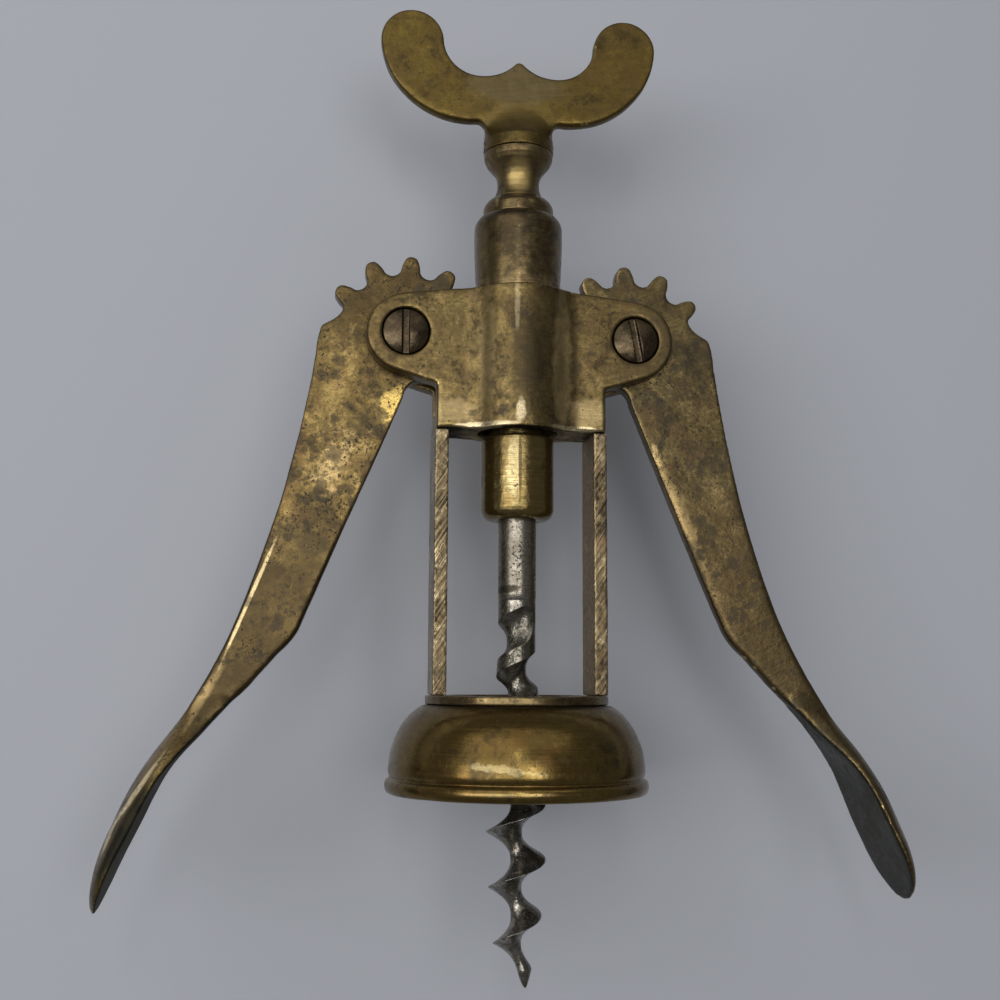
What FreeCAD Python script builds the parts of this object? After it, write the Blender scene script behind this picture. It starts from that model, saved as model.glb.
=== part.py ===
"""Wing corkscrew, in millimetres, +Z up along the spindle.

The origin is the centre of the flat ring inside the bell that rests on a bottle's lip. +X points to the right-hand
lever and +Y to the back. The levers stand 22 degrees out from where they lie along the frame.
"""
import FreeCAD, Part
import math
import os

Vector = FreeCAD.Vector

# Frame: the pivots, the head casting and the two struts
PIVOT_X = 19.1
PIVOT_Z = 62.2
HEAD_HALF_DEPTH = 5.2
HEAD_BOTTOM = 46.4
HEAD_TOP = 70.25
HEAD_LEG_X = 14.0
HEAD_EDGE_ROUND = 0.5
EAR_R = 6.7
EAR_X = 18.8
EAR_Z = 62.1
EAR_DROOP = math.radians(17)
BOSS_R = 9.0
BOSS_BLEND_R = 5.0
STRUT_INNER_X = 11.85
STRUT_THICKNESS = 2.3
STRUT_HALF_DEPTH = 4.9
TENON_INNER_X = 12.4
TENON_THICKNESS = 1.1
TENON_HALF_DEPTH = 2.5
TENON_HEIGHT = 1.4

# Bell, with the lip's seat at Z = 0, and the base ring on it
SEAT_INNER_R = 13.4
SEAT_OUTER_R = 15.6
BELL_TOP = 2.2
BELL_WIDEST_Z = -8.3
BELL_CURVE_X = 12.0
BELL_CURVE_HALF_WIDTH = 8.65
BELL_CURVE_HALF_HEIGHT = 11.3
BELL_GROOVE_R = 20.4
BELL_GROOVE_Z = -9.1
BELL_RIM_R = 21.2
BELL_RIM_BOTTOM = -11.8
BELL_INNER_R = 18.9
BELL_MOUTH_R = 19.5
RING_R = 14.85
RING_HOLE_R = 12.0
RING_TOP = 3.7
RING_SPIGOT_BOTTOM = 0.6
RING_EDGE = 0.35

# Lever plates, the slots they turn in, and their gear teeth, which mesh with the rack's ring-shaped grooves
LEVER_HALF_THICKNESS = 1.5
SLOT_HALF_WIDTH = 1.7
SLOT_R = 14.1
RUNNING_CLEARANCE = 0.05
PITCH_R = 12.0
TOOTH_ANGLE = math.radians(30)
TOOTH_THICKNESS = 3.2
TOOTH_TIP_R = 13.8
TOOTH_CROWN = 0.35
TOOTH_ROOT_R = 10.6
PRESSURE_ANGLE = math.radians(20)
BACKLASH = 0.25
MESH_PHASE = math.radians(-4.5)
TEETH = range(-1, 6)
RACK_PITCH = PITCH_R * TOOTH_ANGLE
RACK_PITCH_LINE_X = PIVOT_X - PITCH_R

# Lever arm, seen from the front: its two edges from the gear to where the grip begins
NECK_EDGE = [(17.2, 54.7), (18.4, 53.8), (19.1, 52.0)]
ARM_INNER_END = (34.4, 14.0)
ARM_HEEL = [(34.4, 14.0), (35.7, 12.0), (37.5, 10.2)]
ARM_NOTCH = [(29.6, 65.9), (31.6, 64.3), (32.8, 63.6)]
ARM_SHOULDER = [(32.8, 63.6), (33.35, 61.5), (33.6, 59.0)]
ARM_OUTER_EDGE = [(33.6, 59.0), (35.9, 45.2), (39.0, 32.0), (42.6, 20.5), (46.35, 11.0), (50.0, 4.2), (54.4, -2.9)]
RIB_END = (52.6, -5.4)

# Grip, from the arm to the tip: X and Z of the flat inner face, half its width, and the bulge of its outer side,
# of which the fullness is the share that is built
GRIP_FULLNESS = 0.93
GRIP_STATIONS = [
    (41.1, 6.1, 1.45, 4.0),
    (44.6, 2.6, 1.7, 4.9),
    (47.4, -0.3, 2.5, 4.7),
    (49.7, -2.8, 3.5, 4.4),
    (51.8, -5.0, 5.0, 4.0),
    (54.8, -8.6, 6.8, 3.7),
    (57.3, -13.0, 8.0, 3.8),
    (59.4, -17.4, 8.5, 3.7),
    (61.3, -21.3, 8.6, 3.4),
    (62.9, -25.0, 7.6, 2.6),
    (63.9, -27.6, 5.4, 1.7),
    (64.4, -29.0, 3.0, 0.9),
    (64.6, -29.6, 1.0, 0.3),
]

# Rack sleeve, and the guide sleeve that it slides in
RACK_R = 6.65
RACK_GROOVE_R = 4.95
RACK_BOTTOM = 50.2
RACK_TOP = 77.1
RACK_GROOVES = range(-1, 3)
RACK_EDGE = 0.3
SLEEVE_FOOT_R = 7.15
SLEEVE_FOOT_TOP = 72.0
SLEEVE_BOTTOM = 66.5
SLEEVE_R = 7.45
SLEEVE_WIDEST_Z = 79.5
SLEEVE_TOP = 83.6
SLEEVE_TOP_R = 6.35
SLEEVE_SHOULDER = 2.1
SLEEVE_LIP = 1.5

# Spindle: the steel rod, and the ferrule, collar, neck and key on it
ROD_R = 3.1
ROD_TOP = 98.4
LIP_R = 6.2
STEM_R = 4.6
END_PLAY = 0.05
FERRULE_R = 6.0
FERRULE_BOTTOM = 32.0
FERRULE_TOP = 45.7
FERRULE_ROUND = 1.8
COLLAR_R = 6.0
COLLAR_TOP = 86.95
COLLAR_CROWN_R = 4.5
NECK_PROFILE = [
    (4.3, 86.95),
    (3.9, 87.8),
    (3.6, 88.8),
    (3.55, 89.8),
    (3.7, 90.8),
    (4.1, 91.65),
    (4.75, 92.45),
    (5.4, 93.2),
    (5.85, 94.1),
    (5.9, 95.15),
]
NECK_TOP = 95.15
PIN_R = 0.9
KEY_PIN_Z = 96.3
FERRULE_PIN_Z = 38.5

# Key handle: the outline is made of circles, each given by its centre and radius
BLADE_HALF_THICKNESS = 1.3
BLADE_EDGE_ROUND = 0.35
KEY_BOSS_R = 6.0
KEY_BOSS_TOP = 97.3
KEY_REST_TURN = -1.7
HORN_R = 5.4
HORN_X = 18.4
HORN_Z = 114.8
VALLEY_X = 6.5
VALLEY_Z = 115.4
PEAK_TOP = 111.6
PEAK_FLANK_R = 8.2
SWEEP_X = 8.6
SWEEP_Z = 115.8
SWEEP_FOOT_X = 6.7
BLADE_FOOT_X = 5.8
BLADE_FOOT_Z = 99.7

# The key's round boss draws in to the blade through level ellipses: half width, half depth and height
KEY_DRAW_IN = [
    (6.0, 6.0, 97.3),
    (5.95, 4.75, 98.0),
    (5.9, 3.75, 98.8),
    (6.0, 2.9, 99.8),
    (6.2, 2.15, 101.1),
    (6.4, 1.6, 102.6),
    (6.5, 1.15, 104.2),
]

# Worm: a helical groove is cut into the rod, whose ridge widens and sharpens downwards to an off-centre point
WORM_PITCH = 8.6
WORM_CREST_Z = -21.95
WORM_TOP = 19.0
WORM_START_R = 3.05
WORM_RIDGE_R = 4.85
WORM_RIDGE_START_Z = 11.0
WORM_RIDGE_FULL_Z = -16.0
WORM_CORE_TOP_R = 1.65
WORM_CORE_R = 0.95
WORM_CORE_START_Z = 12.0
WORM_CORE_FULL_Z = -10.0
WORM_LAND_ANGLE = math.radians(52)
WORM_LAND_START_Z = 6.0
WORM_SHARP_Z = -12.0
WORM_CUT_START_Z = 16.2
WORM_CUT_FULL_Z = 15.0
WORM_TAPER_Z = -20.0
WORM_POINT_Z = -35.0
WORM_TIP_Z = -41.85
WORM_TIP_X = 1.55
WORM_GROOVE_POWER = 2.75
WORM_SECTIONS_PER_TURN = 14
WORM_SIDE_POINTS = 11

# Pivot screws and barrel nuts
SCREW_HEAD_R = 3.75
SCREW_SEAT_Y = 3.6
SCREW_EDGE_Y = 4.9
SCREW_CROWN_Y = 5.7
SCREW_SHANK_R = 1.7
SCREW_SHANK_END = 4.0
SCREW_SLOT_WIDTH = 1.2
SCREW_SLOT_DEPTH = 1.0
NUT_R = 2.5
NUT_BORE_END = 4.2
COUNTERBORE_R = 3.9
RIGHT_SLOT_TILT = -10


def flat(x, z):
    """A point in the plane of the front view."""
    return Vector(x, 0, z)


def line(a, b):
    return Part.LineSegment(a, b).toShape()


def curve(points):
    """A smooth open curve through the points."""
    spline = Part.BSplineCurve()
    spline.interpolate(points)
    return spline.toShape()


def arc(a, through, b):
    return Part.Arc(a, through, b).toShape()


def on_circle(x, z, radius, angle):
    """A point of a circle in the front view, at an angle in radians from +X towards +Z."""
    return flat(x + radius * math.cos(angle), z + radius * math.sin(angle))


def arc_about(x, z, radius, start, end):
    """An arc of a circle in the front view, between two angles."""
    return arc(*[on_circle(x, z, radius, angle) for angle in (start, (start + end) / 2, end)])


def polyline(points):
    """Straight edges through (x, z) points."""
    corners = [flat(*point) for point in points]
    return [line(a, b) for a, b in zip(corners, corners[1:])]


def face_of(edges):
    return Part.Face(Part.Wire(Part.__sortEdges__(edges)))


def slab(edges, half_depth):
    """A closed outline of the front view, thickened both ways along Y."""
    face = face_of(edges)
    face.translate(Vector(0, -half_depth, 0))
    return face.extrude(Vector(0, 2 * half_depth, 0))


def turned(edges):
    """A closed half section of the front view, turned about the spindle's axis."""
    return face_of(edges).revolve(Vector(), Vector(0, 0, 1), 360)


def rod(radius, bottom, top):
    return Part.makeCylinder(radius, top - bottom, Vector(0, 0, bottom))


def front_bar(x, z, radius, front, back):
    """A cylinder along Y."""
    return Part.makeCylinder(radius, back - front, Vector(x, front, z), Vector(0, 1, 0))


def block(low, high):
    size = [b - a for a, b in zip(low, high)]
    return Part.makeBox(*size, Vector(*low))


def mirrored(shape):
    return shape.mirror(Vector(), Vector(1, 0, 0))


def on_both_sides(shape):
    return [shape, mirrored(shape)]


def lever_slot():
    """The space the right lever's gear turns in."""
    return front_bar(PIVOT_X, PIVOT_Z, SLOT_R, -SLOT_HALF_WIDTH, SLOT_HALF_WIDTH)


def head_outline():
    """Front outline of the head: a low arch over two ears, and a square block between them."""
    rise = HEAD_TOP - EAR_Z
    crown_r = (EAR_X ** 2 + rise ** 2 - EAR_R ** 2) / (2 * (rise - EAR_R))
    crown_z = HEAD_TOP - crown_r
    shoulder = math.atan2(EAR_Z - crown_z, EAR_X)
    foot = on_circle(EAR_X, EAR_Z, EAR_R, EAR_DROOP - math.pi / 2)
    corner = flat(HEAD_LEG_X, foot.z - (foot.x - HEAD_LEG_X) * math.tan(EAR_DROOP))
    right = [
        arc_about(0, crown_z, crown_r, math.pi / 2, shoulder),
        arc_about(EAR_X, EAR_Z, EAR_R, shoulder, EAR_DROOP - math.pi / 2),
        line(foot, corner),
        line(corner, flat(HEAD_LEG_X, HEAD_BOTTOM)),
        line(flat(HEAD_LEG_X, HEAD_BOTTOM), flat(0, HEAD_BOTTOM)),
    ]
    return right + [mirrored(edge) for edge in right]


def boss_plan():
    """Plan of the head's round boss, which a concave blend spreads into the plate at the front and at the back."""
    blend_y = HEAD_HALF_DEPTH + BOSS_BLEND_R
    blend_x = math.sqrt((BOSS_R + BOSS_BLEND_R) ** 2 - blend_y ** 2)
    centre = Vector(blend_x, blend_y, 0)
    plate_end = Vector(blend_x, HEAD_HALF_DEPTH, 0)
    boss_end = centre * (BOSS_R / (BOSS_R + BOSS_BLEND_R))
    inward = (plate_end + boss_end) * 0.5 - centre
    inward.normalize()
    blend = arc(plate_end, centre + inward * BOSS_BLEND_R, boss_end)
    back = [blend, arc(boss_end, Vector(0, BOSS_R, 0), Vector(-boss_end.x, boss_end.y, 0)), mirrored(blend)]
    front = [edge.mirror(Vector(), Vector(0, 1, 0)) for edge in back]
    low_end = Vector(blend_x, -HEAD_HALF_DEPTH, 0)
    sides = [line(plate_end, low_end), mirrored(line(plate_end, low_end))]
    plan = face_of(back + front + sides)
    plan.translate(Vector(0, 0, HEAD_BOTTOM))
    return plan.extrude(Vector(0, 0, HEAD_TOP - HEAD_BOTTOM))


def head_casting():
    plate = slab(head_outline(), HEAD_HALF_DEPTH)
    rims = [edge for edge in plate.Edges if edge.BoundBox.YLength < 1e-6]
    plate = plate.makeFillet(HEAD_EDGE_ROUND, rims)
    head = plate.fuse(boss_plan().common(slab(head_outline(), BOSS_R))).removeSplitter()
    cuts = [rod(RACK_R + RUNNING_CLEARANCE, HEAD_BOTTOM, HEAD_TOP), rod(SLEEVE_FOOT_R, SLEEVE_BOTTOM, HEAD_TOP)]
    sliver = block((SLEEVE_FOOT_R - 0.4, -SLOT_HALF_WIDTH, PIVOT_Z), (PIVOT_X, SLOT_HALF_WIDTH, HEAD_TOP))
    pivot_hole = front_bar(PIVOT_X, PIVOT_Z, NUT_R, -BOSS_R, BOSS_R)
    front_sink = front_bar(PIVOT_X, PIVOT_Z, COUNTERBORE_R, -BOSS_R, -SCREW_SEAT_Y)
    back_sink = front_bar(PIVOT_X, PIVOT_Z, COUNTERBORE_R, SCREW_SEAT_Y, BOSS_R)
    for cut in (lever_slot(), sliver, pivot_hole, front_sink, back_sink, strut_tenon(HEAD_BOTTOM)):
        cuts += on_both_sides(cut)
    return head.cut(cuts)


def strut_tenon(bottom):
    """The short tongue of the right strut that fits into the head or the ring."""
    low = (TENON_INNER_X, -TENON_HALF_DEPTH, bottom)
    high = (TENON_INNER_X + TENON_THICKNESS, TENON_HALF_DEPTH, bottom + TENON_HEIGHT)
    return block(low, high)


def right_strut():
    low = (STRUT_INNER_X, -STRUT_HALF_DEPTH, RING_TOP)
    high = (STRUT_INNER_X + STRUT_THICKNESS, STRUT_HALF_DEPTH, HEAD_BOTTOM)
    tenons = [strut_tenon(HEAD_BOTTOM), strut_tenon(RING_TOP - TENON_HEIGHT)]
    return block(low, high).fuse(tenons).removeSplitter()


def base_ring():
    section = [
        (RING_HOLE_R, RING_SPIGOT_BOTTOM),
        (SEAT_INNER_R, RING_SPIGOT_BOTTOM),
        (SEAT_INNER_R, BELL_TOP),
        (RING_R, BELL_TOP),
        (RING_R, RING_TOP - RING_EDGE),
        (RING_R - RING_EDGE, RING_TOP),
        (RING_HOLE_R, RING_TOP),
        (RING_HOLE_R, RING_SPIGOT_BOTTOM),
    ]
    return turned(polyline(section)).cut(on_both_sides(strut_tenon(RING_TOP - TENON_HEIGHT)))


def bell_wall_point(z):
    """The outer side of the bell, part of an ellipse that is upright in section."""
    height = (z - BELL_WIDEST_Z) / BELL_CURVE_HALF_HEIGHT
    return flat(BELL_CURVE_X + BELL_CURVE_HALF_WIDTH * math.sqrt(1 - height ** 2), z)


def bell():
    drop = BELL_TOP - BELL_WIDEST_Z
    outside = [bell_wall_point(BELL_TOP - drop * step / 8) for step in range(9)]
    groove = flat(BELL_GROOVE_R, BELL_GROOVE_Z)
    rim_top = flat(BELL_GROOVE_R + 0.5, BELL_GROOVE_Z - 0.3)
    rim_foot = flat(BELL_RIM_R - 0.7, BELL_RIM_BOTTOM)
    rim_side = flat(BELL_RIM_R, (rim_top.z + BELL_RIM_BOTTOM) / 2)
    mouth = flat(BELL_MOUTH_R, BELL_RIM_BOTTOM)
    waist = flat(BELL_INNER_R, BELL_GROOVE_Z)
    shelf = flat(SEAT_OUTER_R, 0)
    bulge = flat(BELL_INNER_R - 1.0, BELL_GROOVE_Z / 2)
    top_inner = flat(SEAT_INNER_R, BELL_TOP)
    section = [
        curve(outside),
        line(outside[-1], groove),
        line(groove, rim_top),
        arc(rim_top, rim_side, rim_foot),
        line(rim_foot, mouth),
        line(mouth, waist),
        arc(waist, bulge, shelf),
        line(shelf, flat(SEAT_INNER_R, 0)),
        line(flat(SEAT_INNER_R, 0), top_inner),
        line(top_inner, outside[0]),
    ]
    return turned(section)


def gear_point(radius, angle):
    """A point of the right lever's gear, its angle measured at the pivot from the inward direction upwards."""
    return flat(PIVOT_X - radius * math.cos(angle), PIVOT_Z + radius * math.sin(angle))


def tooth_half_angle(radius):
    """Half the angle a tooth fills at a radius, from the involute of the base circle."""
    roll = math.acos(min(1, PITCH_R * math.cos(PRESSURE_ANGLE) / radius))
    pitch_half = TOOTH_THICKNESS / (2 * PITCH_R)
    return pitch_half + (math.tan(PRESSURE_ANGLE) - PRESSURE_ANGLE) - (math.tan(roll) - roll)


def tooth(angle):
    """The two flanks and the rounded tip of one tooth."""
    base_r = PITCH_R * math.cos(PRESSURE_ANGLE)
    top_r = TOOTH_TIP_R - TOOTH_CROWN
    radii = [base_r + (top_r - base_r) * step / 4 for step in range(5)]
    lower = [gear_point(radius, angle - tooth_half_angle(radius)) for radius in radii]
    upper = [gear_point(radius, angle + tooth_half_angle(radius)) for radius in radii]
    return [curve(lower), arc(lower[-1], gear_point(TOOTH_TIP_R, angle), upper[-1]), curve(upper)]


def gear_edges():
    """The gear's outline from the arm's neck, over every tooth, to the notch behind the last one."""
    base_r = PITCH_R * math.cos(PRESSURE_ANGLE)
    base_half = tooth_half_angle(base_r)
    angles = [MESH_PHASE + index * TOOTH_ANGLE for index in TEETH]
    start = gear_point(TOOTH_ROOT_R, angles[0] - base_half - 0.06)
    edges = [line(flat(*NECK_EDGE[0]), start), line(start, gear_point(base_r, angles[0] - base_half))]
    for angle in angles:
        edges += tooth(angle)
    for angle in angles[:-1]:
        low = gear_point(base_r, angle + base_half)
        high = gear_point(base_r, angle + TOOTH_ANGLE - base_half)
        edges.append(arc(low, gear_point(TOOTH_ROOT_R, angle + TOOTH_ANGLE / 2), high))
    last = gear_point(base_r, angles[-1] + base_half)
    return edges + [curve([last] + [flat(*point) for point in ARM_NOTCH])]


def lever_plate():
    """The flat part of the right lever: gear, arm and the rib that runs out on the grip."""
    grip_inner = [(x, z) for x, z, half_width, bulge in GRIP_STATIONS[:5]]
    edges = gear_edges()
    edges.append(arc(*[flat(*point) for point in NECK_EDGE]))
    edges.append(line(flat(*NECK_EDGE[-1]), flat(*ARM_INNER_END)))
    edges.append(arc(*[flat(*point) for point in ARM_HEEL]))
    edges += polyline([ARM_HEEL[-1]] + grip_inner + [RIB_END, ARM_OUTER_EDGE[-1]])
    edges.append(curve([flat(*point) for point in ARM_OUTER_EDGE]))
    edges.append(arc(*[flat(*point) for point in ARM_SHOULDER]))
    return slab(edges, LEVER_HALF_THICKNESS)


def grip_section(index):
    """One cross-section of the grip: a flat inner side and half an ellipse, which makes the edges blunt."""
    x, z, half_width, bulge = GRIP_STATIONS[index]
    before = GRIP_STATIONS[max(index - 1, 0)]
    after = GRIP_STATIONS[min(index + 1, len(GRIP_STATIONS) - 1)]
    outward = Vector(before[1] - after[1], 0, after[0] - before[0])
    outward.normalize()
    points = []
    for step in range(-6, 7):
        turn = math.radians(15 * step)
        points.append(Vector(x, half_width * math.sin(turn), z) + outward * (bulge * GRIP_FULLNESS * math.cos(turn)))
    return Part.Wire([line(points[0], points[-1]), curve(points)])


def right_lever():
    grip = Part.makeLoft([grip_section(index) for index in range(len(GRIP_STATIONS))], True)
    bore = front_bar(PIVOT_X, PIVOT_Z, NUT_R + RUNNING_CLEARANCE, -SLOT_HALF_WIDTH, SLOT_HALF_WIDTH)
    return lever_plate().fuse(grip).cut(bore)


def rack_groove_section(index):
    """Half section of one ring-shaped groove: straight flanks at the pressure angle."""
    z = PIVOT_Z + PITCH_R * (MESH_PHASE + index * TOOTH_ANGLE)
    pitch_half = (RACK_PITCH - (RACK_PITCH - TOOTH_THICKNESS - BACKLASH)) / 2
    slope = math.tan(PRESSURE_ANGLE)
    outer_r = RACK_R + 1
    outer_half = pitch_half - (RACK_PITCH_LINE_X - outer_r) * slope
    inner_half = pitch_half - (RACK_PITCH_LINE_X - RACK_GROOVE_R) * slope
    low = [(outer_r, z - outer_half), (RACK_GROOVE_R, z - inner_half)]
    high = [(RACK_GROOVE_R, z + inner_half), (outer_r, z + outer_half)]
    return polyline(low + high + low[:1])


def rack_sleeve():
    section = [
        (ROD_R + RUNNING_CLEARANCE, RACK_BOTTOM),
        (RACK_R - RACK_EDGE, RACK_BOTTOM),
        (RACK_R, RACK_BOTTOM + RACK_EDGE),
        (RACK_R, RACK_TOP - RACK_EDGE),
        (RACK_R - RACK_EDGE, RACK_TOP),
        (ROD_R + RUNNING_CLEARANCE, RACK_TOP),
        (ROD_R + RUNNING_CLEARANCE, RACK_BOTTOM),
    ]
    return turned(polyline(section)).cut([turned(rack_groove_section(index)) for index in RACK_GROOVES])


def guide_sleeve():
    bore_r = RACK_R + RUNNING_CLEARANCE
    foot = flat(SLEEVE_FOOT_R, SLEEVE_FOOT_TOP)
    widest = flat(SLEEVE_R, SLEEVE_WIDEST_Z)
    shoulder = flat(SLEEVE_R, SLEEVE_TOP - SLEEVE_SHOULDER)
    swell = flat((SLEEVE_FOOT_R + SLEEVE_R) / 2 + 0.05, (SLEEVE_FOOT_TOP + SLEEVE_WIDEST_Z) / 2)
    bend = flat(SLEEVE_R - 0.35, SLEEVE_TOP - SLEEVE_SHOULDER * 0.4)
    crest = flat(SLEEVE_TOP_R, SLEEVE_TOP)
    inside = [
        (SLEEVE_TOP_R, SLEEVE_TOP),
        (LIP_R, SLEEVE_TOP),
        (LIP_R, SLEEVE_TOP - SLEEVE_LIP),
        (bore_r, SLEEVE_TOP - SLEEVE_LIP),
        (bore_r, SLEEVE_BOTTOM),
        (SLEEVE_FOOT_R, SLEEVE_BOTTOM),
        (SLEEVE_FOOT_R, SLEEVE_FOOT_TOP),
    ]
    section = polyline(inside) + [arc(foot, swell, widest), line(widest, shoulder), arc(shoulder, bend, crest)]
    return turned(section).cut(on_both_sides(lever_slot()))


def lower_ferrule():
    corner = FERRULE_ROUND * (1 - math.sqrt(0.5))
    section = polyline([
        (FERRULE_R, FERRULE_BOTTOM + FERRULE_ROUND),
        (FERRULE_R, FERRULE_TOP),
        (STEM_R, FERRULE_TOP),
        (STEM_R, RACK_BOTTOM - END_PLAY),
        (ROD_R, RACK_BOTTOM - END_PLAY),
        (ROD_R, FERRULE_BOTTOM),
        (FERRULE_R - FERRULE_ROUND, FERRULE_BOTTOM),
    ])
    round_start = flat(FERRULE_R - FERRULE_ROUND, FERRULE_BOTTOM)
    round_end = flat(FERRULE_R, FERRULE_BOTTOM + FERRULE_ROUND)
    section.append(arc(round_start, flat(FERRULE_R - corner, FERRULE_BOTTOM + corner), round_end))
    return turned(section).cut(ferrule_pin())


def ferrule_pin():
    pin = Part.makeCylinder(PIN_R, 2 * FERRULE_R, Vector(-FERRULE_R, 0, FERRULE_PIN_Z), Vector(1, 0, 0))
    return pin.common(rod(FERRULE_R, FERRULE_BOTTOM, FERRULE_TOP))


def thrust_collar():
    crown = flat(COLLAR_CROWN_R, COLLAR_TOP)
    edge = flat(COLLAR_R, COLLAR_TOP - 2.1)
    swell = flat(COLLAR_R - 0.55, COLLAR_TOP - 0.75)
    section = polyline([
        (COLLAR_R, COLLAR_TOP - 2.1),
        (COLLAR_R, SLEEVE_TOP + END_PLAY),
        (STEM_R, SLEEVE_TOP + END_PLAY),
        (STEM_R, RACK_TOP + END_PLAY),
        (ROD_R, RACK_TOP + END_PLAY),
        (ROD_R, COLLAR_TOP),
        (COLLAR_CROWN_R, COLLAR_TOP),
    ])
    return turned(section + [arc(crown, swell, edge)])


def neck_spool():
    profile = [flat(*point) for point in NECK_PROFILE]
    inside = polyline([NECK_PROFILE[-1], (ROD_R, NECK_TOP), (ROD_R, COLLAR_TOP), NECK_PROFILE[0]])
    return turned(inside + [curve(profile)])


def between(a_x, a_z, b_x, b_z):
    """Distance and direction from one circle's centre to another's."""
    return math.hypot(b_x - a_x, b_z - a_z), math.atan2(b_z - a_z, b_x - a_x)


def blade_outline():
    """Front outline of the key's blade: two round horns that sweep down to the boss, with a low peak between."""
    horn_gap, to_horn = between(VALLEY_X, VALLEY_Z, HORN_X, HORN_Z)
    valley_r = horn_gap - HORN_R
    reach, horn_side = between(SWEEP_X, SWEEP_Z, HORN_X, HORN_Z)
    sweep_r = reach + HORN_R
    flank_z = VALLEY_Z - valley_r + PEAK_FLANK_R
    drop = flank_z - PEAK_TOP
    peak_r = (VALLEY_X ** 2 + drop ** 2 - PEAK_FLANK_R ** 2) / (2 * (PEAK_FLANK_R - drop))
    flank_end = between(VALLEY_X, flank_z, 0, PEAK_TOP - peak_r)[1]
    sweep_end = -math.acos((SWEEP_FOOT_X - SWEEP_X) / sweep_r)
    right = [
        arc_about(VALLEY_X, flank_z, PEAK_FLANK_R, flank_end, -math.pi / 2),
        arc_about(VALLEY_X, VALLEY_Z, valley_r, -math.pi / 2, to_horn),
        arc_about(HORN_X, HORN_Z, HORN_R, math.pi + to_horn, horn_side),
        arc_about(SWEEP_X, SWEEP_Z, sweep_r, horn_side, sweep_end),
    ]
    peak_foot = right[0].Vertexes[0].Point
    sweep_foot = on_circle(SWEEP_X, SWEEP_Z, sweep_r, sweep_end)
    blade_foot = flat(BLADE_FOOT_X, BLADE_FOOT_Z)
    right.append(line(sweep_foot, blade_foot))
    centre = [
        arc(peak_foot, flat(0, PEAK_TOP), flat(-peak_foot.x, peak_foot.z)),
        line(blade_foot, flat(-BLADE_FOOT_X, BLADE_FOOT_Z)),
    ]
    return right + [mirrored(edge) for edge in right] + centre


def at_rest_turn(shape):
    """The key's own parts are turned a little about the spindle, so that its right horn stands forward."""
    return shape.rotated(Vector(), Vector(0, 0, 1), KEY_REST_TURN)


def key_handle():
    blade = slab(blade_outline(), BLADE_HALF_THICKNESS)
    rims = [edge for edge in blade.Edges if edge.BoundBox.YLength < 1e-6 and edge.BoundBox.ZMax > KEY_DRAW_IN[-1][2]]
    blade = blade.makeFillet(BLADE_EDGE_ROUND, rims)
    foot = Part.Circle(Vector(0, 0, KEY_BOSS_TOP), Vector(0, 0, 1), KEY_BOSS_R)
    ellipses = [Part.Ellipse(Vector(0, 0, z), x, y) for x, y, z in KEY_DRAW_IN[1:]]
    rings = [Part.Wire(ring.toShape()) for ring in [foot] + ellipses]
    boss = rod(KEY_BOSS_R, NECK_TOP, KEY_BOSS_TOP).fuse(Part.makeLoft(rings, True))
    return at_rest_turn(boss.fuse(blade)).removeSplitter().cut([rod(ROD_R, NECK_TOP, ROD_TOP), key_pin()])


def key_pin():
    pin = Part.makeCylinder(PIN_R, 2 * KEY_BOSS_R, Vector(-KEY_BOSS_R, 0, KEY_PIN_Z), Vector(1, 0, 0))
    return at_rest_turn(pin.common(rod(KEY_BOSS_R, NECK_TOP, KEY_BOSS_TOP)))


def between_heights(z, high, low):
    """0 at the higher height and above, 1 at the lower one and below."""
    return max(0, min(1, (high - z) / (high - low)))


def worm_radius(z, behind, way):
    """The worm's radius at a height, at an angle from the groove's middle, one way or the other."""
    taper = between_heights(z, WORM_TAPER_Z, WORM_TIP_Z)
    grown = between_heights(z, WORM_RIDGE_START_Z, WORM_RIDGE_FULL_Z)
    ridge_r = WORM_START_R + (WORM_RIDGE_R - WORM_START_R) * grown - 1.9 * taper ** 1.3
    core_share = between_heights(z, WORM_CORE_START_Z, WORM_CORE_FULL_Z)
    core_r = WORM_CORE_TOP_R + (WORM_CORE_R - WORM_CORE_TOP_R) * core_share - 0.2 * taper
    land = WORM_LAND_ANGLE * (1 - between_heights(z, WORM_LAND_START_Z, WORM_SHARP_Z))
    groove_z = z + way * WORM_PITCH * behind / (2 * math.pi)
    cut = between_heights(groove_z, WORM_CUT_START_Z, WORM_CUT_FULL_Z)
    if cut == 0:
        return ridge_r
    half_width = (math.pi - land) * math.sqrt(cut)
    return ridge_r - (ridge_r - core_r) * cut * (1 - min(1, behind / half_width) ** WORM_GROOVE_POWER)


def worm_section(z):
    """One level cross-section of the worm: two curves that run from the groove's middle round to the ridge."""
    turn = 2 * math.pi * (max(z, WORM_TIP_Z + 2.7) - WORM_CREST_Z) / WORM_PITCH
    shrink = (1 - between_heights(z, WORM_POINT_Z, WORM_TIP_Z)) ** 0.6
    sides = []
    for way in (1, -1):
        points = []
        for step in range(WORM_SIDE_POINTS):
            behind = math.pi * step / (WORM_SIDE_POINTS - 1)
            angle = turn + math.pi + way * behind
            radius = worm_radius(z, behind, way)
            x = WORM_TIP_X + (radius * math.cos(angle) - WORM_TIP_X) * shrink
            points.append(Vector(x, radius * math.sin(angle) * shrink, z))
        sides.append(points)
    sides[1][-1] = sides[0][-1]
    return Part.Wire([curve(sides[0]), curve(sides[1][::-1])])


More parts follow.
